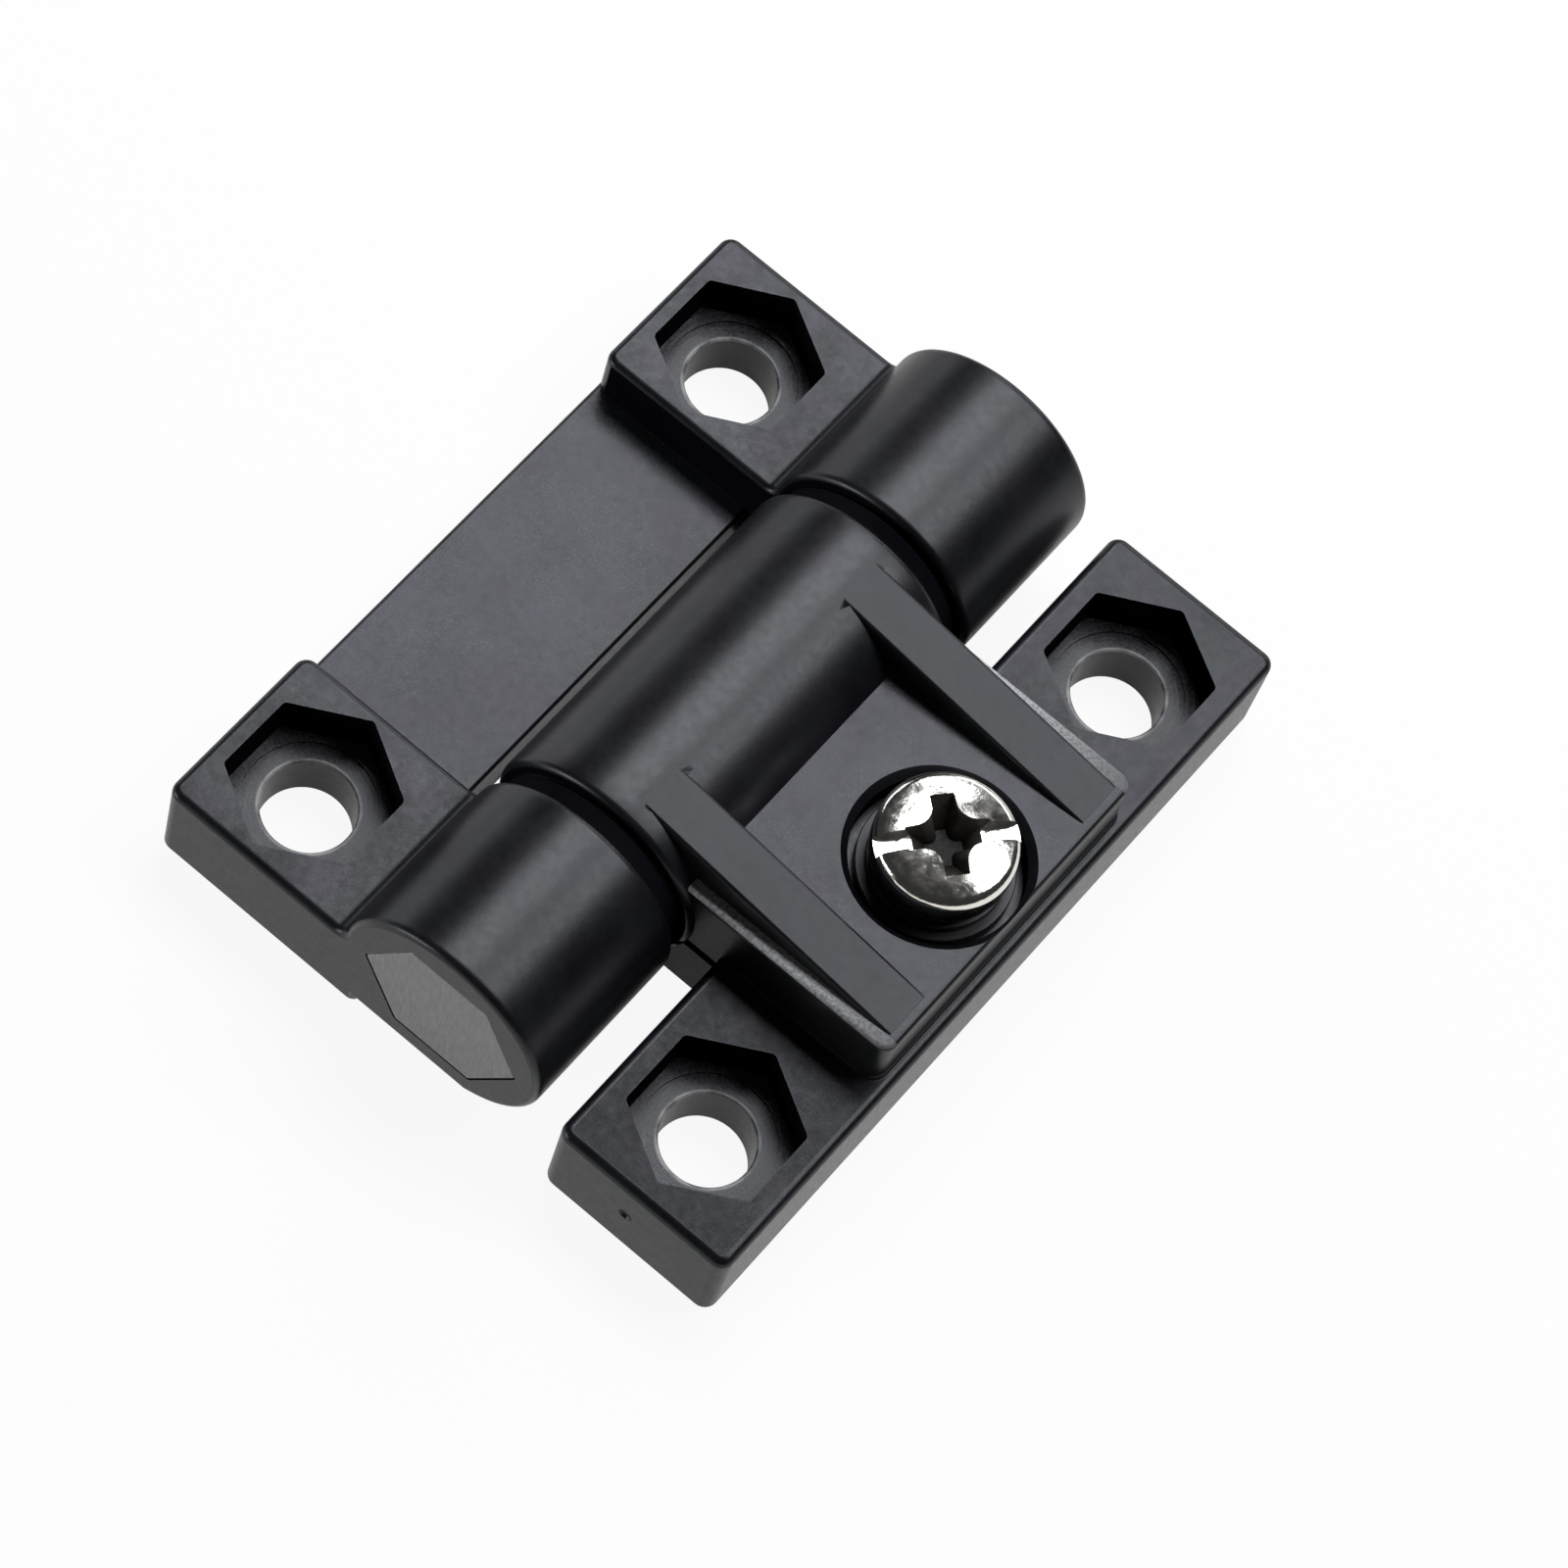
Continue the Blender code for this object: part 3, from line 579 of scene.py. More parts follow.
def tongue_cutters():
    """The bore, the slit above the tongue, the slots round it and the nut's pocket."""
    half = BARREL_LENGTH / 2 + OVERCUT
    bore = arc((PIN_X, PIN_HEIGHT), BARREL_BORE, 0, 2 * math.pi, ROUND_SEGMENTS)[:-1]
    tongue_end = PIN_X + TONGUE_REACH
    slot_end = tongue_end + TONGUE_SLOT
    tongue_side = BLOCK_WIDTH / 2
    slot_side = tongue_side + TONGUE_SLOT
    slot_start = PIN_X + KNUCKLE_RADIUS + EAR_GAP - OVERCUT
    slit_top = SLIT_HEIGHT + SLIT_WIDTH
    slit = [
        (PIN_X, SLIT_HEIGHT), (tongue_end, SLIT_HEIGHT), (tongue_end, -OVERCUT),
        (slot_end, -OVERCUT), (slot_end, slit_top), (PIN_X, slit_top),
    ]
    middle = SLIT_HEIGHT + SLIT_WIDTH / 2
    near_slot = rectangle(slot_start, slot_end, -slot_side, -tongue_side)
    far_slot = rectangle(slot_start, slot_end, tongue_side, slot_side)
    relief_side = tongue_side + TONGUE_SLOT / 2
    relief = rectangle(slot_start, tongue_end + TONGUE_SLOT / 2, -relief_side, relief_side)
    nut_half = NUT_POCKET_WIDTH / 2
    pocket = rectangle(SCREW_X - nut_half, SCREW_X + nut_half, -nut_half, nut_half)
    solids = [
        prism(bore, "Y", -half, half),
        prism(slit, "Y", -slot_side, slot_side),
        prism(near_slot, "Z", -OVERCUT, middle),
        prism(far_slot, "Z", -OVERCUT, middle),
        prism(relief, "Z", -OVERCUT, TONGUE_BACK),
        prism(pocket, "Z", -OVERCUT, TONGUE_BACK + NUT_POCKET_DEPTH),
    ]
    return [("DIFFERENCE", from_bmesh("cut", bm)) for bm in solids]


def screw_cutter():
    """The stepped screw hole with its counterbore and chamfer."""
    floor = BLOCK_TOP - COUNTERBORE_DEPTH
    profile = [
        (SCREW_HOLE_RADIUS, TONGUE_BACK + NUT_POCKET_DEPTH / 2),
        (SCREW_HOLE_RADIUS, floor),
        (COUNTERBORE_RADIUS, floor),
        (COUNTERBORE_RADIUS, BLOCK_TOP - COUNTERBORE_CHAMFER),
        (COUNTERBORE_RADIUS + COUNTERBORE_CHAMFER, BLOCK_TOP),
        (COUNTERBORE_RADIUS + COUNTERBORE_CHAMFER, BLOCK_TOP + OVERCUT),
    ]
    return ("DIFFERENCE", solid_of_revolution("screw_hole", profile, (SCREW_X, 0), "Z"))


def gate_cutter():
    """The small round mark in the near end of the clamp leaf, left by its moulding."""
    end = -CLAMP_LEAF_END
    profile = [
        (GATE_RADIUS - GATE_DEPTH, end + GATE_DEPTH),
        (GATE_RADIUS, end),
        (GATE_RADIUS, end - OVERCUT),
    ]
    return ("DIFFERENCE", solid_of_revolution("gate_mark", profile, (GATE_X, GATE_HEIGHT), "Y"))


def make_clamp_leaf(materials):
    """The leaf with two ears, the barrel and the block that the screw pulls together."""
    left = PIN_X + KNUCKLE_RADIUS + EAR_GAP
    sides = (left, CLAMP_LEAF_HIGH.x, -CLAMP_LEAF_END, CLAMP_LEAF_END)
    leaf = soft_box("clamp_leaf_visual", sides, 0, LEAF_THICKNESS, CORNER_ROUND, EDGE_ROUND, BACK_ROUND)
    half = BLOCK_WIDTH / 2
    block_sides = (PIN_X + BLOCK_START, PIN_X + BLOCK_REACH, -half, half)
    block = soft_box("block", block_sides, TONGUE_BACK, BLOCK_TOP, BLOCK_CORNER, RIM_ROUND, BACK_ROUND)
    steps = [("UNION", made) for made in (block, block_foot(), barrel(), arm(-1), arm(1))]
    steps += tongue_cutters()
    steps += [screw_cutter(), gate_cutter()]
    for side in (-1, 1):
        steps += hole_cutters(CLAMP_LEAF_HOLE_REACH, side)
    kind = face_kinds(CLAMP_LEAF_HOLE_REACH, BLOCK_TOP, ARM_INNER)
    carve(leaf, steps)
    split_across(leaf, ARM_INNER + ARM_WIDTH)
    finish_piece(leaf, materials, "clamp_side", "clamp_leaf", kind)


def pin_bore(name, near, far):
    """A cutter for the hexagonal hole round the pin."""
    flats = PIN_HIGH.z - PIN_LOW.z + 2 * PIN_GAP
    outline = rounded_polygon(hexagon(flats, 0, (PIN_X, PIN_HEIGHT)), PIN_CORNER + PIN_GAP)
    return ("DIFFERENCE", from_bmesh(name, prism(outline, "Y", near, far)))


def make_pin(material):
    """The hexagonal pin with softened corners and ends."""
    flats = PIN_HIGH.z - PIN_LOW.z

    def ring(inset, y):
        outline = hexagon(flats - 2 * inset, 0, (PIN_X, PIN_HEIGHT))
        return upright_plane(rounded_polygon(outline, PIN_CORNER - inset), y)

    rings = [ring(inset, PIN_LOW.y + drop) for inset, drop in reversed(quarter(PIN_EDGE))]
    rings += [ring(inset, PIN_HIGH.y - drop) for inset, drop in quarter(PIN_EDGE)]
    pin = from_bmesh("hinge_pin_visual", loft(rings))
    finish_piece(pin, [material], "pin_side", "hinge_pin")


def make_thrust_washer(place, material):
    """A thin black washer in the gap between knuckle and barrel."""
    node = "thrust_washer_" + place
    low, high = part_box(node)
    profile = [
        (THRUST_RADIUS - STACK_EDGE, low.y),
        (THRUST_RADIUS, low.y + STACK_EDGE),
        (THRUST_RADIUS, high.y - STACK_EDGE),
        (THRUST_RADIUS - STACK_EDGE, high.y),
    ]
    made = solid_of_revolution(node + "_visual", profile, (PIN_X, PIN_HEIGHT), "Y", ROUND_SEGMENTS)
    carve(made, [pin_bore("bore", low.y - OVERCUT, high.y + OVERCUT)])
    finish_piece(made, [material], "pin_side", node)


def turned_to_slot(name, bm):
    """A cutter moved onto the screw's axis and turned with its slot."""
    bmesh.ops.rotate(bm, verts=bm.verts, matrix=Matrix.Rotation(SLOT_ANGLE, 3, "Z"))
    bmesh.ops.translate(bm, verts=bm.verts, vec=(SCREW_X, 0, 0))
    return from_bmesh(name, bm)


def cross_cutter(top):
    """A tapered cross with rounded inner corners, widest at the top."""
    span = CROSS_SPAN / 2
    half = CROSS_WIDTH / 2
    inner = half * 1.5
    quadrant = [(span, -half), (span, half)]
    quadrant += arc((half + inner, half + inner), inner, *CROSS_CURVE, 4)
    plan = []
    for turn in range(4):
        spin = Matrix.Rotation(turn * math.pi / 2, 2)
        plan += [spin @ Vector(point) for point in quadrant]
    levels = (
        (top - CROSS_DEPTH, 0.42),
        (top - CROSS_DEPTH / 2, 0.82),
        (top, 1.0),
        (top + OVERCUT, 1.1),
    )
    rings = [[(point.x * scale, point.y * scale, height) for point in plan] for height, scale in levels]
    return turned_to_slot("cross", loft(rings))


def slot_cutter(top, radius):
    """The straight slot across the screw's head."""
    half = SLOT_WIDTH / 2
    outline = rectangle(-radius - OVERCUT, radius + OVERCUT, -half, half)
    return turned_to_slot("slot", prism(outline, "Z", top - SLOT_DEPTH, top + OVERCUT))


def screw_profile(radius, top, bottom):
    """(radius, height) pairs from the threaded tip to the middle of the domed head."""
    root = SHANK_RADIUS - THREAD_DEPTH
    profile = [(root, HEAD_LOW.z)]
    place = HEAD_LOW.z + THREAD_PITCH / 2
    while place < bottom - 2 * THREAD_PITCH:
        profile += [(root, place), (SHANK_RADIUS, place + THREAD_PITCH / 2)]
        place += THREAD_PITCH
    shoulder = top - HEAD_CROWN - HEAD_EDGE
    profile += [(SHANK_RADIUS, place), (SHANK_RADIUS, bottom), (radius - STACK_EDGE, bottom)]
    profile += [(radius, bottom + STACK_EDGE), (radius, shoulder)]
    profile += arc((radius - HEAD_EDGE, shoulder), HEAD_EDGE, 0, HEAD_EDGE_TURN, HEAD_EDGE_STEPS)[1:]
    edge_radius, edge_height = profile[-1]
    for step in range(1, CROWN_STEPS):
        left = 1 - step / CROWN_STEPS
        profile.append((edge_radius * left, edge_height + (top - edge_height) * (1 - left ** 2)))
    profile.append((MERGE * 10, top))
    return profile


def recess_kind(top, bottom):
    """Sort the screw's faces: 1 in the cross recess, which takes the painted-shade steel, and 0 elsewhere.
    """
    along = Vector((math.cos(SLOT_ANGLE), math.sin(SLOT_ANGLE)))

    def kind(face):
        offset = face.center.xy - Vector((SCREW_X, 0))
        depth = top - face.center.z
        inside = offset.length < CROSS_SPAN / 2 and face.center.z > bottom
        deep = depth > SLOT_DEPTH * 1.02
        leaning = face.normal.z < CROSS_LEAN and depth > HEAD_CROWN / 4
        in_slot = abs(offset.orthogonal().dot(along)) < SLOT_WIDTH / 2 + MERGE
        return int(inside and (deep or leaning and not in_slot))

    return kind


def make_screw(plating, recess_shade):
    """Pan-head screw with a slot, a cross recess and rings that stand for its thread."""
    radius = (HEAD_HIGH.x - HEAD_LOW.x) / 2
    top = HEAD_HIGH.z
    bottom = top - HEAD_HEIGHT
    profile = screw_profile(radius, top, bottom)
    screw = solid_of_revolution("adjusting_screw_visual", profile, (SCREW_X, 0), "Z")
    carve(screw, [("DIFFERENCE", slot_cutter(top, radius)), ("DIFFERENCE", cross_cutter(top))])
    kind = recess_kind(top, bottom)
    finish_piece(screw, [plating, recess_shade], "screw", "adjusting_screw", kind)


def make_disc_spring(node, body, lift, material):
    """A thin cone-shaped spring; lift is the height of its inner edge over its outer edge."""
    low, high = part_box(node)
    outer = (high.x - low.x) / 2
    inner_low = low.z + max(lift, 0)
    outer_low = low.z + max(-lift, 0)
    profile = [
        (STACK_HOLE_RADIUS, inner_low),
        (outer - STACK_EDGE, outer_low),
        (outer, outer_low + STACK_EDGE),
        (outer, outer_low + SPRING_SHEET - STACK_EDGE),
        (outer - STACK_EDGE, outer_low + SPRING_SHEET),
        (STACK_HOLE_RADIUS, inner_low + SPRING_SHEET),
    ]
    made = ring_of_revolution(node + "_visual", profile, (SCREW_X, 0), "Z")
    finish_piece(made, [material], body, node)


def make_washer(material):
    """The plain washer at the bottom of the counterbore."""
    low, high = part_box("plain_washer")
    outer = (high.x - low.x) / 2
    profile = [
        (STACK_HOLE_RADIUS, low.z),
        (outer - STACK_EDGE, low.z),
        (outer, low.z + STACK_EDGE),
        (outer, high.z - STACK_EDGE),
        (outer - STACK_EDGE, high.z),
        (STACK_HOLE_RADIUS, high.z),
    ]
    made = ring_of_revolution("plain_washer_visual", profile, (SCREW_X, 0), "Z")
    finish_piece(made, [material], "clamp_side", "plain_washer")


def make_nut(material):
    """The square nut in the back of the clamp tongue."""
    low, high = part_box("square_nut")
    sides = (low.x, high.x, low.y, high.y)
    nut = soft_box("square_nut_visual", sides, low.z, high.z, NUT_CORNER, STACK_EDGE, NUT_BACK_ROUND)
    mouth = STACK_HOLE_RADIUS + NUT_BACK_ROUND + OVERCUT
    profile = [
        (mouth, low.z - OVERCUT),
        (STACK_HOLE_RADIUS, low.z + NUT_BACK_ROUND),
        (STACK_HOLE_RADIUS, high.z + OVERCUT),
    ]
    hole = solid_of_revolution("nut_hole", profile, (SCREW_X, 0), "Z")
    carve(nut, [("DIFFERENCE", hole)])
    finish_piece(nut, [material], "clamp_side", "square_nut")


class Nodes:
    """Short calls for building a material's node tree."""

    def __init__(self, name):
        self.material = bpy.data.materials.new(name)
        self.material.use_nodes = True
        self.tree = self.material.node_tree
        self.shader = self.tree.nodes["Principled BSDF"]

    def add(self, kind, **settings):
        node = self.tree.nodes.new(kind)
        for key, value in settings.items():
            setattr(node, key, value)
        return node

    def link(self, source, target):
        self.tree.links.new(source, target)

    def millimetres(self):
        """The object's own coordinates, counted in millimetres."""
        place = self.add("ShaderNodeTexCoord")
        scale = self.add("ShaderNodeMapping")
        scale.inputs["Scale"].default_value = (1 / MM, 1 / MM, 1 / MM)
        self.link(place.outputs["Object"], scale.inputs["Vector"])
        return scale.outputs["Vector"]

    def stretched(self, vector, scale):
        """The same coordinates, stretched by a scale along each axis."""
        node = self.add("ShaderNodeMapping")
        node.inputs["Scale"].default_value = scale
        self.link(vector, node.inputs["Vector"])
        return node.outputs["Vector"]

    def noise(self, vector, scale, detail=2.0, roughness=0.5):
        node = self.add("ShaderNodeTexNoise")
        node.inputs["Scale"].default_value = scale
        node.inputs["Detail"].default_value = detail
        node.inputs["Roughness"].default_value = roughness
        self.link(vector, node.inputs["Vector"])
        return node.outputs["Fac"]

    def remap(self, value, low, high, new_low, new_high):
        node = self.add("ShaderNodeMapRange")
        node.inputs["From Min"].default_value = low
        node.inputs["From Max"].default_value = high
        node.inputs["To Min"].default_value = new_low
        node.inputs["To Max"].default_value = new_high
        self.link(value, node.inputs["Value"])
        return node.outputs["Result"]

    def along(self, vector, axis):
        """One coordinate of a vector."""
        node = self.add("ShaderNodeSeparateXYZ")
        self.link(vector, node.inputs["Vector"])
        return node.outputs[axis]

    def surface(self, tone, rough, metallic=0.0, bend=None):
        """Give the shader its colour and roughness, and its even metallic share and bend of light."""
        self.link(tone, self.shader.inputs["Base Color"])
        self.link(rough, self.shader.inputs["Roughness"])
        self.shader.inputs["Metallic"].default_value = metallic
        if bend is not None:
            self.shader.inputs["IOR"].default_value = bend

    def blend(self, factor, first, second):
        """A colour between two colours, each given or taken from a socket."""
        node = self.add("ShaderNodeMix", data_type="RGBA")
        self.link(factor, node.inputs["Factor"])
        for key, value in (("A", first), ("B", second)):
            socket = next(s for s in node.inputs if s.name == key and s.type == "RGBA")
            if isinstance(value, tuple):
                socket.default_value = (*value, 1)
            else:
                self.link(value, socket)
        return next(s for s in node.outputs if s.type == "RGBA")

    def tinted(self, tone, tint):
        """A tone multiplied by a tint."""
        node = self.add("ShaderNodeMix", data_type="RGBA", blend_type="MULTIPLY")
        node.inputs["Factor"].default_value = 1.0
        for key, value in (("A", tone), ("B", tint)):
            self.link(value, next(s for s in node.inputs if s.name == key and s.type == "RGBA"))
        return next(s for s in node.outputs if s.type == "RGBA")

    def math(self, operation, first, second=0.0):
        node = self.add("ShaderNodeMath", operation=operation)
        for socket, value in zip(node.inputs, (first, second)):
            if isinstance(value, (int, float)):
                socket.default_value = value
            else:
                self.link(value, socket)
        return node.outputs["Value"]

    def rounded_edge_mask(self, radius):
        """1 along edges and 0 on open faces, from how far a rounded normal leans away."""
        bevel = self.add("ShaderNodeBevel", samples=6)
        bevel.inputs["Radius"].default_value = radius
        geometry = self.add("ShaderNodeNewGeometry")
        dot = self.add("ShaderNodeVectorMath", operation="DOT_PRODUCT")
        self.link(bevel.outputs["Normal"], dot.inputs[0])
        self.link(geometry.outputs["Normal"], dot.inputs[1])
        return self.remap(dot.outputs["Value"], 0.98, 0.8, 0.0, 1.0)

    def bump(self, layers):
        """Stack (height socket, depth in metres) layers into one normal."""
        normal = None
        for height, depth in layers:
            node = self.add("ShaderNodeBump")
            node.inputs["Strength"].default_value = 1.0
            node.inputs["Distance"].default_value = depth
            self.link(height, node.inputs["Height"])
            if normal is not None:
                self.link(normal, node.inputs["Normal"])
            normal = node.outputs["Normal"]
        self.link(normal, self.shader.inputs["Normal"])


# Tints and tones of the black plastic; noise scales are counts in a millimetre
VIOLET = (1.04, 0.94, 1.10)
GREEN = (0.92, 1.06, 1.00)
COOL_GLOSS = (0.95, 0.96, 1.0, 1.0)
SPECK_TONE = (0.16, 0.16, 0.17)
# Lighter tone for the painted highlight along rounded edges
EDGE_HIGHLIGHT_TONE = (0.06, 0.06, 0.065)
GRAIN = 9.0
COARSE = 2.2
FLOW = 0.22
HUE = 0.3
CLUSTERS = 0.28
SPECKS = 6.5
# How far in from an edge the painted highlight reaches
EDGE_HIGHLIGHT_REACH = 0.14 * MM
FLOW_DEPTH = 0.012 * MM
COARSE_DEPTH = 0.004 * MM

# Scratches round the holes in the pocket floors, and the band of painted highlight at each hole's edge
RING_RATE = 7.0
RING_DRIFT = 3.0
RIM_SPAN = (0.27, 0.17)


def black_nylon(name, tones, rough, grain_depth, speckle, bend, gloss=0.5, painted_light_slope=0.0, tinted=True):
    """Moulded black plastic: fine grain, flow marks and scattered light specks, with edges painted lighter
    as a highlight and, where asked, a painted light slope along Y.
    """
    nodes = Nodes(name)
    place = nodes.millimetres()
    grain = nodes.noise(place, GRAIN, 2.0, 0.5)
    coarse = nodes.noise(place, COARSE, 3.0, 0.6)
    flow = nodes.noise(place, FLOW, 3.0, 0.55)
    share = nodes.remap(flow, 0.35, 0.65, 0.0, 1.0)
    # Painted light and shade along Y: the tone darkens towards the near end and lightens towards the far end
    if painted_light_slope:
        near, far = PIN_LEAF_LOW.y / MM, PIN_LEAF_HIGH.y / MM
        painted_slope_share = nodes.remap(nodes.along(place, "Y"), near, far, -painted_light_slope, painted_light_slope)
        share = nodes.remap(nodes.math("ADD", share, painted_slope_share), 0.0, 1.0, 0.0, 1.0)
    tone = nodes.blend(share, *tones)
    if tinted:
        hue = nodes.remap(nodes.noise(place, HUE, 1.0, 0.5), 0.42, 0.58, 0.0, 1.0)
        tone = nodes.tinted(tone, nodes.blend(hue, VIOLET, GREEN))
    clusters = nodes.remap(nodes.noise(place, CLUSTERS, 2.0, 0.5), 0.42, 0.60, 0.25, 1.0)
    specks = nodes.remap(nodes.noise(place, SPECKS, 3.0, 0.7), 0.50, 0.72, 0.0, speckle)
    tone = nodes.blend(nodes.math("MULTIPLY", specks, clusters), tone, SPECK_TONE)
    # Painted highlight: rounded edges turn a lighter tone
    tone = nodes.blend(nodes.math("MULTIPLY", nodes.rounded_edge_mask(EDGE_HIGHLIGHT_REACH), 0.3), tone, EDGE_HIGHLIGHT_TONE)
    nodes.surface(tone, nodes.remap(coarse, 0.3, 0.7, *rough), bend=bend)
    nodes.shader.inputs["Specular IOR Level"].default_value = gloss
    nodes.shader.inputs["Specular Tint"].default_value = COOL_GLOSS
    nodes.bump([(flow, FLOW_DEPTH), (coarse, COARSE_DEPTH), (grain, grain_depth)])
    return nodes.material


def seat_rings(nodes, radius, patches):
    """Uneven scratches round the hole: 1 in a scratch, from how far out a point lies."""
    turned = nodes.add("ShaderNodeCombineXYZ")
    nodes.link(nodes.math("MULTIPLY", radius, RING_RATE), turned.inputs["X"])
    nodes.link(nodes.math("MULTIPLY", patches, RING_DRIFT), turned.inputs["Y"])
    scratches = nodes.noise(turned.outputs["Vector"], 1.0, 2.0, 0.6)
    rings = nodes.remap(scratches, 0.52, 0.68, 0.0, 1.0)
    return nodes.math("MULTIPLY", rings, nodes.remap(patches, 0.42, 0.62, 0.0, 1.0))


def scratched_seat_with_painted_light(name, hole_x):
    """Pocket floors scratched in rings round the hole, their tones painted well above the plastic's own as
    light on the floor, with a painted highlight palest at the hole's edge.
    """
    nodes = Nodes(name)
    place = nodes.millimetres()
    across = nodes.math("SUBTRACT", nodes.along(place, "X"), hole_x / MM)
    along = nodes.math("ABSOLUTE", nodes.along(place, "Y"))
    along = nodes.math("SUBTRACT", along, HOLE_SPACING / 2 / MM)
    squares = [nodes.math("MULTIPLY", part, part) for part in (across, along)]
    radius = nodes.math("SQRT", nodes.math("ADD", *squares))
    grain = nodes.noise(place, GRAIN, 2.0, 0.5)
    patches = nodes.noise(place, 0.8, 2.0, 0.5)
    rings = seat_rings(nodes, radius, patches)
    outer, inner = (HOLE_DIAMETER / 2 / MM + reach for reach in RIM_SPAN)
    rim = nodes.remap(radius, outer, inner, 0.0, 1.0)
    rim_highlight = nodes.math("MULTIPLY", rim, nodes.remap(patches, 0.35, 0.65, 0.15, 1.0))
    grained = nodes.remap(grain, 0.35, 0.7, 0.0, 1.0)
    # Painted light: the floor's tones sit well above the plastic's own
    tone = nodes.blend(grained, (0.034, 0.034, 0.037), (0.088, 0.088, 0.094))
    tone = nodes.blend(nodes.math("MULTIPLY", rings, 0.6), tone, (0.19, 0.19, 0.195))
    # Painted highlight: a pale band at the hole's edge
    tone = nodes.blend(nodes.math("MULTIPLY", rim_highlight, 0.9), tone, (0.36, 0.36, 0.35))
    nodes.surface(tone, nodes.remap(grain, 0.3, 0.7, 0.24, 0.34), bend=1.27)
    nodes.shader.inputs["Specular Tint"].default_value = COOL_GLOSS
    nodes.bump([(rings, 0.006 * MM), (grain, 0.004 * MM)])
    return nodes.material


def painted_ledge_highlight():
    """The ledges beside the arms, with a painted highlight that grows paler towards the barrel, against the
    shade of the arm.
    """
    nodes = Nodes("black_nylon_ledge_highlight")
    place = nodes.millimetres()
    grain = nodes.noise(place, 5.0, 3.0, 0.7)
    toe = (PIN_X + BLOCK_REACH) / MM
    # Painted highlight: paler towards the barrel
    lit_toward_barrel = nodes.remap(nodes.along(place, "X"), toe, (PIN_X + KNUCKLE_RADIUS) / MM, 0.0, 1.0)
    tone = nodes.blend(lit_toward_barrel, (0.12, 0.12, 0.125), (0.60, 0.60, 0.61))
    tone = nodes.blend(nodes.remap(grain, 0.42, 0.66, 0.0, 0.7), tone, (0.05, 0.05, 0.055))
    nodes.surface(tone, nodes.remap(grain, 0.3, 0.7, 0.42, 0.56), bend=1.35)
    nodes.bump([(grain, 0.006 * MM)])
    return nodes.material


def pin_grey():
    """Ground grey steel with fine streaks and brighter edges."""
    nodes = Nodes("pin_grey_blasted")
    place = nodes.millimetres()
    grain = nodes.noise(place, GRAIN, 4.0, 0.65)
    cloud = nodes.noise(place, 0.7, 3.0, 0.5)
    streaks = nodes.noise(nodes.stretched(place, (1.0, 1.0, 0.12)), 7.0, 2.0, 0.6)
    streaked = nodes.remap(streaks, 0.35, 0.65, 0.0, 1.0)
    tone = nodes.blend(streaked, (0.17, 0.17, 0.165), (0.225, 0.225, 0.215))
    # Edges turned lighter through the rounded-edge mask
    edge_lightening = nodes.math("MULTIPLY", nodes.rounded_edge_mask(0.2 * MM), 0.5)
    tone = nodes.blend(edge_lightening, tone, (0.55, 0.55, 0.53))
    nodes.surface(tone, nodes.remap(grain, 0.3, 0.7, 0.48, 0.66), metallic=0.35)
    nodes.bump([(cloud, 0.02 * MM), (streaks, 0.006 * MM), (grain, 0.008 * MM)])
    return nodes.material


def plated_steel():
    """Bright nickel plating with fine turning marks and a few dull spots."""
    nodes = Nodes("plated_steel_bright")
    place = nodes.millimetres()
    spots = nodes.noise(place, 1.6, 3.0, 0.6)
    fine = nodes.noise(place, 14.0, 2.0, 0.5)
    tone = nodes.blend(spots, (0.72, 0.70, 0.64), (0.83, 0.81, 0.76))
    nodes.surface(tone, nodes.remap(spots, 0.3, 0.7, 0.09, 0.20), metallic=1.0)
    nodes.bump([(spots, 0.02 * MM), (fine, 0.0012 * MM)])
    return nodes.material


def recess_shade_steel():
    """The screw's cross recess: a darker copy of the plating, with painted shade deepening to near black at
    the floor.
    """
    nodes = Nodes("plated_steel_painted_shade")
    place = nodes.millimetres()
    spots = nodes.noise(place, 4.0, 3.0, 0.6)
    floor = (HEAD_HIGH.z - CROSS_DEPTH) / MM
    clear = floor + CROSS_DEPTH / MM * 0.7
    rise = nodes.remap(nodes.along(place, "Z"), floor + 0.05, clear, 0.0, 1.0)
    tone = nodes.blend(spots, (0.045, 0.037, 0.027), (0.11, 0.097, 0.077))
    # Painted shade: near black at the recess floor
    tone = nodes.blend(rise, (0.004, 0.003, 0.002), tone)
    nodes.surface(tone, nodes.remap(spots, 0.3, 0.7, 0.55, 0.7), metallic=0.4)
    nodes.bump([(spots, 0.02 * MM)])
    return nodes.material


def dark_steel():
    """Black oxide on steel with faint wear on the edges."""
    nodes = Nodes("dark_steel_oxide")
    grain = nodes.noise(nodes.millimetres(), 6.0, 3.0, 0.6)
    tone = nodes.blend(grain, (0.020, 0.020, 0.021), (0.040, 0.040, 0.041))
    edge_lightening = nodes.math("MULTIPLY", nodes.rounded_edge_mask(0.08 * MM), 0.5)
    tone = nodes.blend(edge_lightening, tone, (0.16, 0.16, 0.16))
    nodes.surface(tone, nodes.remap(grain, 0.3, 0.7, 0.36, 0.5), metallic=0.7)
    nodes.bump([(grain, 0.004 * MM)])
    return nodes.material


def dark_acetal():
    """Smooth dark grey bearing plastic."""
    nodes = Nodes("dark_acetal_smooth")
    grain = nodes.noise(nodes.millimetres(), 3.0, 2.0, 0.5)
    tone = nodes.blend(grain, (0.045, 0.045, 0.046), (0.065, 0.065, 0.066))
    nodes.surface(tone, nodes.remap(grain, 0.3, 0.7, 0.38, 0.46))
    nodes.bump([(grain, 0.003 * MM)])
    return nodes.material


FLOOR_SIZE = 3.0
FLOOR_DROP = 0.05 * MM
FLOOR_COLOR = 0.86
FLOOR_GLOW = 0.92
SHADE_REACH = 9 * MM
SHADE_SPAN = (0.04, 0.24)


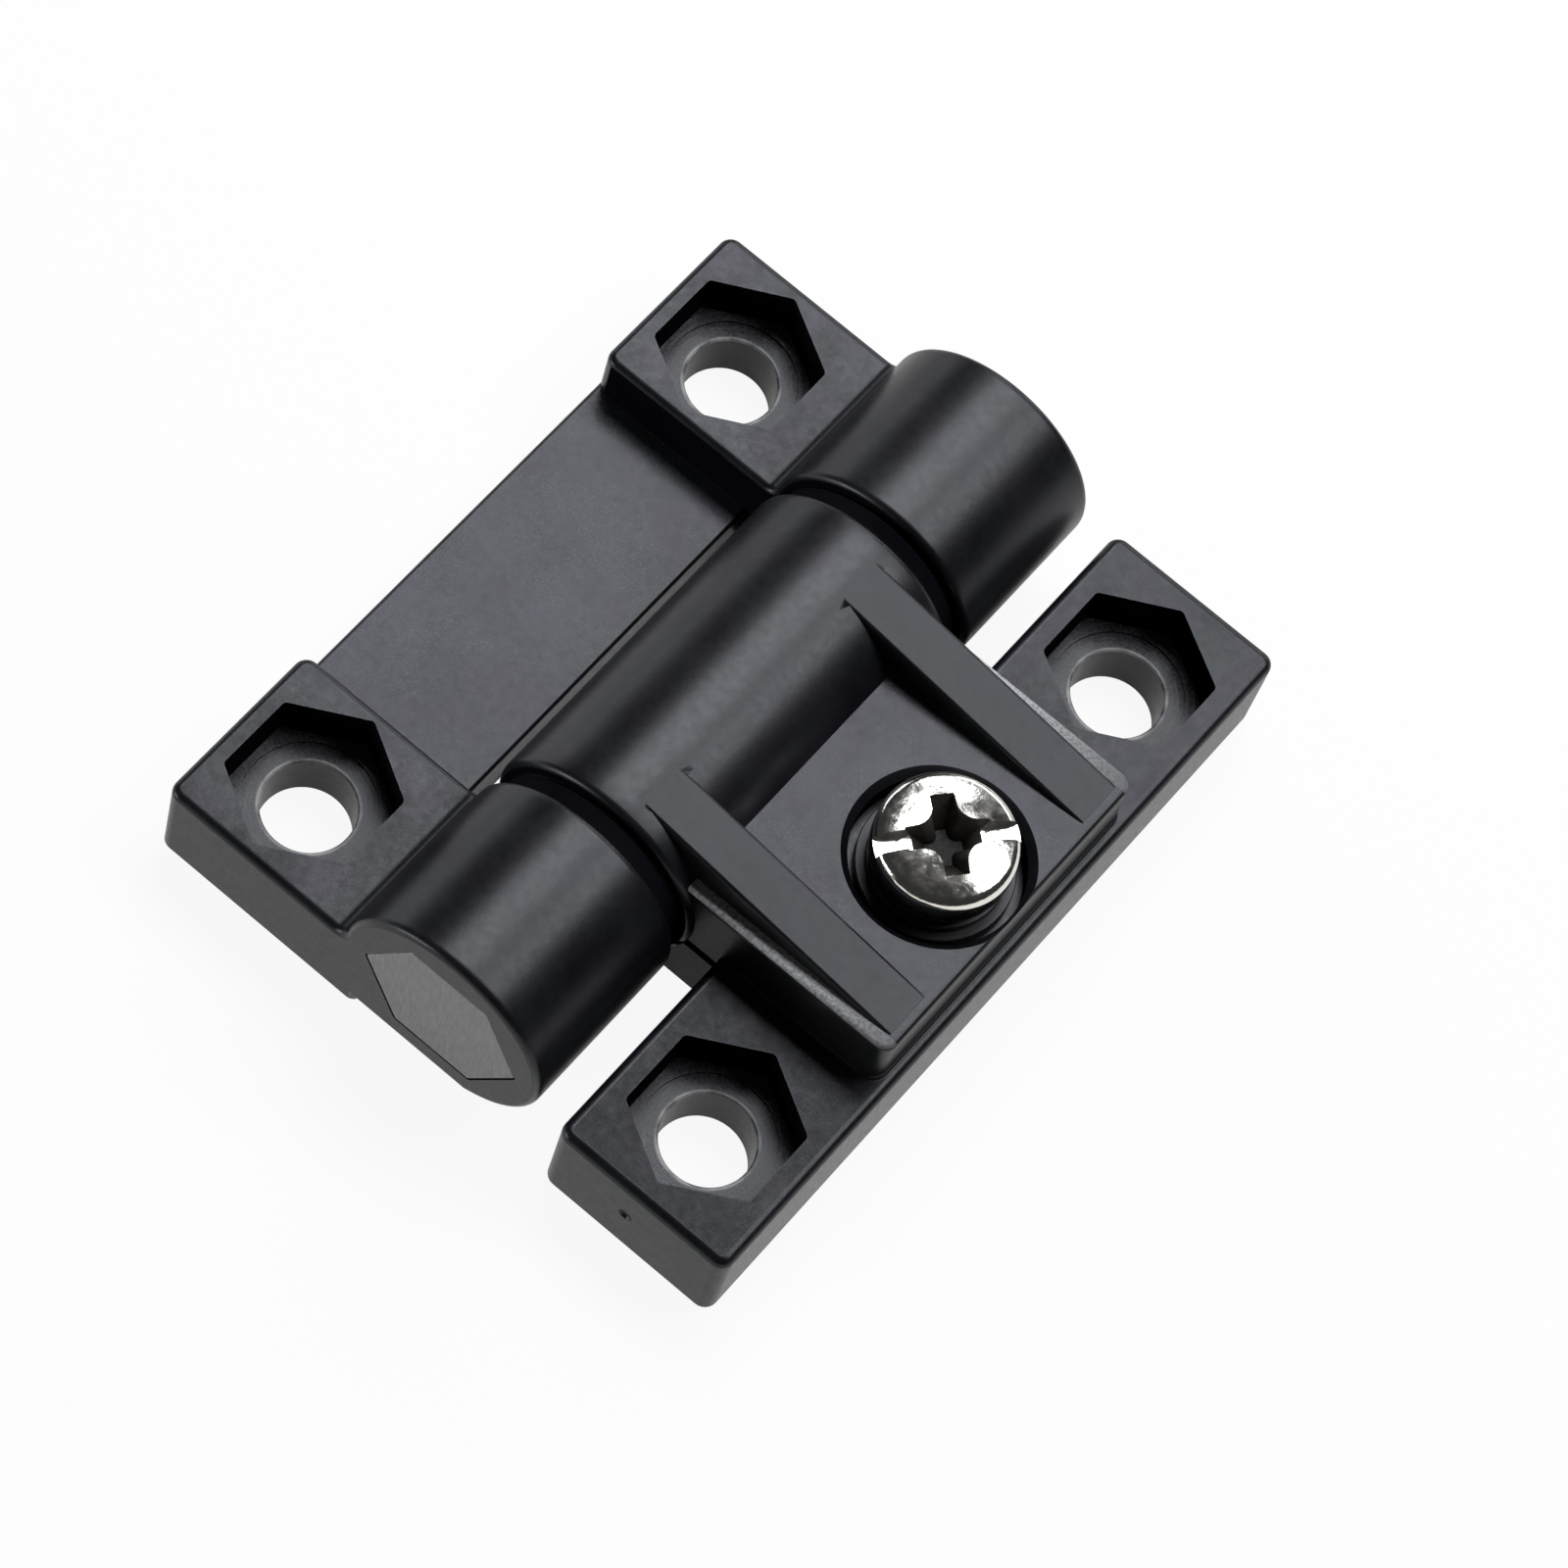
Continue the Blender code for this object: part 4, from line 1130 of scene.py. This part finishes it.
def floor_material():
    """White to the camera where it is open; to gloss its glow is cut by painted shade where the hinge hides
    it.
    """
    nodes = Nodes("floor_white")
    nodes.shader.inputs["Base Color"].default_value = (FLOOR_COLOR, FLOOR_COLOR, FLOOR_COLOR, 1)
    nodes.shader.inputs["Roughness"].default_value = 0.9
    nodes.shader.inputs["Specular IOR Level"].default_value = 0.0
    glow = nodes.add("ShaderNodeEmission")
    path = nodes.add("ShaderNodeLightPath")
    open_air = nodes.add("ShaderNodeAmbientOcclusion", samples=8)
    open_air.inputs["Distance"].default_value = SHADE_REACH
    clear = nodes.remap(open_air.outputs["AO"], *SHADE_SPAN, 0.0, 1.0)
    # Painted shade: ambient occlusion cuts the glow that gloss sees near the hinge
    mirrored = nodes.math("MAXIMUM", path.outputs["Is Glossy Ray"], path.outputs["Is Transmission Ray"])
    seen = nodes.math("MAXIMUM", path.outputs["Is Camera Ray"], nodes.math("MULTIPLY", mirrored, clear))
    mix = nodes.add("ShaderNodeMixShader")
    nodes.link(nodes.math("MULTIPLY", seen, FLOOR_GLOW), mix.inputs["Fac"])
    nodes.link(nodes.shader.outputs["BSDF"], mix.inputs[1])
    nodes.link(glow.outputs["Emission"], mix.inputs[2])
    nodes.link(mix.outputs["Shader"], nodes.tree.nodes["Material Output"].inputs["Surface"])
    return nodes.material


def make_floor():
    """A plain white floor just under the hinge."""
    bm = bmesh.new()
    half = FLOOR_SIZE / 2
    bm.faces.new([bm.verts.new(point) for point in level(rectangle(-half, half, -half, half), 0)])
    floor = from_bmesh("floor", bm)
    floor.data.materials.append(floor_material())
    floor.location.z = min(0.0, cad_bounds[0][2]) - FLOOR_DROP


def soft_light(name, direction, distance, size, radiance):
    """A rectangular area light that faces the hinge, wide along X and deep along Y."""
    lamp = bpy.data.lights.new(name, "AREA")
    lamp.shape = "RECTANGLE"
    lamp.color = LAMP_TINT
    lamp.size, lamp.size_y = size
    lamp.energy = radiance * math.pi * size[0] * size[1]
    away = Vector(direction).normalized()
    across = (Vector((1, 0, 0)) - away * away.x).normalized()
    turn = Matrix((across, away.cross(across), away)).transposed()
    made = bpy.data.objects.new(name, lamp)
    made.matrix_world = Matrix.Translation(away * distance) @ turn.to_4x4()
    bpy.context.scene.collection.objects.link(made)


WORLD_GREY = 0.035
LAMP_TINT = (0.95, 0.965, 1.0)
# Name, direction from the hinge, distance, size and radiance
LIGHTS = (
    ("left_box", (-0.174, 0.42, 0.896), 0.5, (0.28, 0.19), 9.2),
    ("right_box", (0.386, 0.42, 0.827), 0.5, (0.21, 0.19), 7.6),
    ("back_strip", (-0.04, 0.93, 0.36), 0.6, (0.40, 0.11), 5.5),
    ("high_back_box", (-0.36, 0.71, 0.60), 0.6, (0.24, 0.12), 4.0),
    ("low_strip", (-0.895, 0.42, 0.17), 0.6, (0.30, 0.12), 2.4),
    ("front_strip", (-0.65, -0.74, 0.15), 0.6, (0.30, 0.10), 13.0),
)


def make_light():
    """Soft boxes above and behind, low strips at the left and front, and a dim even surround."""
    for light in LIGHTS:
        soft_light(*light)
    world = bpy.data.worlds.new("dim_surround")
    world.use_nodes = True
    background = world.node_tree.nodes["Background"]
    background.inputs["Color"].default_value = (WORLD_GREY, WORLD_GREY, WORLD_GREY, 1)
    bpy.context.scene.world = world


# The photograph's view, found from the leaves' corners, the holes and the pin
CAMERA_PLACE = Vector((52.901, -134.005, 294.439)) * MM
CAMERA_RIGHT = Vector((0.764025, 0.624927, 0.160414))
CAMERA_DOWN = Vector((0.627127, -0.660903, -0.412213))
PHOTO_WIDTH = 1600
FOCAL_PIXELS = 6082
SENSOR = 36.0


def make_camera():
    data = bpy.data.cameras.new("photo_view")
    data.sensor_fit = "HORIZONTAL"
    data.sensor_width = SENSOR
    data.lens = SENSOR * FOCAL_PIXELS / PHOTO_WIDTH
    data.clip_start = 0.01
    camera = bpy.data.objects.new("photo_view", data)
    back = CAMERA_RIGHT.cross(-CAMERA_DOWN)
    turn = Matrix((CAMERA_RIGHT, -CAMERA_DOWN, back)).transposed()
    camera.matrix_world = Matrix.Translation(CAMERA_PLACE) @ turn.to_4x4()
    bpy.context.scene.collection.objects.link(camera)
    bpy.context.scene.camera = camera


# Each finish of the black plastic, as black_nylon takes it
PLASTIC = {
    "smooth": dict(
        tones=((0.003, 0.003, 0.004), (0.008, 0.008, 0.010)), rough=(0.30, 0.37),
        grain_depth=0.0025 * MM, speckle=0.0, bend=1.385,
    ),
    "sparked": dict(
        tones=((0.020, 0.020, 0.024), (0.036, 0.036, 0.042)), rough=(0.18, 0.28),
        grain_depth=0.005 * MM, speckle=0.34, bend=1.26,
    ),
    # Pad and ear tops: worn tones, with a painted light slope along Y
    "worn_pads_with_painted_light": dict(
        tones=((0.004, 0.004, 0.005), (0.042, 0.042, 0.046)), rough=(0.34, 0.46),
        grain_depth=0.005 * MM, speckle=0.25, bend=1.35, painted_light_slope=0.35,
    ),
    "worn_ears_with_painted_light": dict(
        tones=((0.002, 0.002, 0.003), (0.044, 0.044, 0.047)), rough=(0.36, 0.48),
        grain_depth=0.005 * MM, speckle=0.25, bend=1.30, painted_light_slope=0.7,
    ),
    # Sides: the plastic lifted and tinted olive, a painted light for the glow that upright faces pick up
    # from below
    "sides": dict(
        tones=((0.010, 0.0105, 0.0095), (0.018, 0.0185, 0.017)), rough=(0.30, 0.38),
        grain_depth=0.003 * MM, speckle=0.08, bend=1.24,
    ),
    # Painted shade: near-black plastic with no gloss, put where shade falls in pockets, counterbores, gaps
    # and on the thrust washers
    "painted_shade": dict(
        tones=((0.0035, 0.0035, 0.005), (0.006, 0.006, 0.008)), rough=(0.55, 0.65),
        grain_depth=0.003 * MM, speckle=0.0, bend=1.20, gloss=0.0, tinted=False,
    ),
}


def dress_hinge():
    """Make every piece with its finish."""
    plastic = {name: black_nylon("black_nylon_" + name, **values) for name, values in PLASTIC.items()}
    ledge_highlight_finish = painted_ledge_highlight()
    pin_seat = scratched_seat_with_painted_light("black_nylon_pin_leaf_seats", PIN_X - PIN_LEAF_HOLE_REACH)
    clamp_seat = scratched_seat_with_painted_light("black_nylon_clamp_leaf_seats", PIN_X + CLAMP_LEAF_HOLE_REACH)

    def leaf_finishes(worn, seat):
        first = [plastic["smooth"], plastic["sparked"], plastic[worn], plastic["sides"]]
        return first + [plastic["painted_shade"], seat, ledge_highlight_finish]

    plated = plated_steel()
    oxide = dark_steel()
    make_pin_leaf(leaf_finishes("worn_pads_with_painted_light", pin_seat))
    make_clamp_leaf(leaf_finishes("worn_ears_with_painted_light", clamp_seat))
    make_pin(pin_grey())
    # The thrust washers take the painted-shade plastic, because the gap they sit in is in shade
    make_thrust_washer("near", plastic["painted_shade"])
    make_thrust_washer("far", plastic["painted_shade"])
    make_screw(plated, recess_shade_steel())
    make_disc_spring("disc_spring_lower", "clamp_side", SPRING_LIFT, oxide)
    make_disc_spring("disc_spring_upper", "screw_carrier", -SPRING_LIFT, oxide)
    make_washer(oxide)
    make_nut(plated)
    sleeve = frame["nodes"]["friction_sleeve"]
    sleeve.data.materials.clear()
    sleeve.data.materials.append(dark_acetal())


make_camera()
dress_hinge()
make_floor()
make_light()
bpy.context.scene.view_settings.view_transform = "Standard"
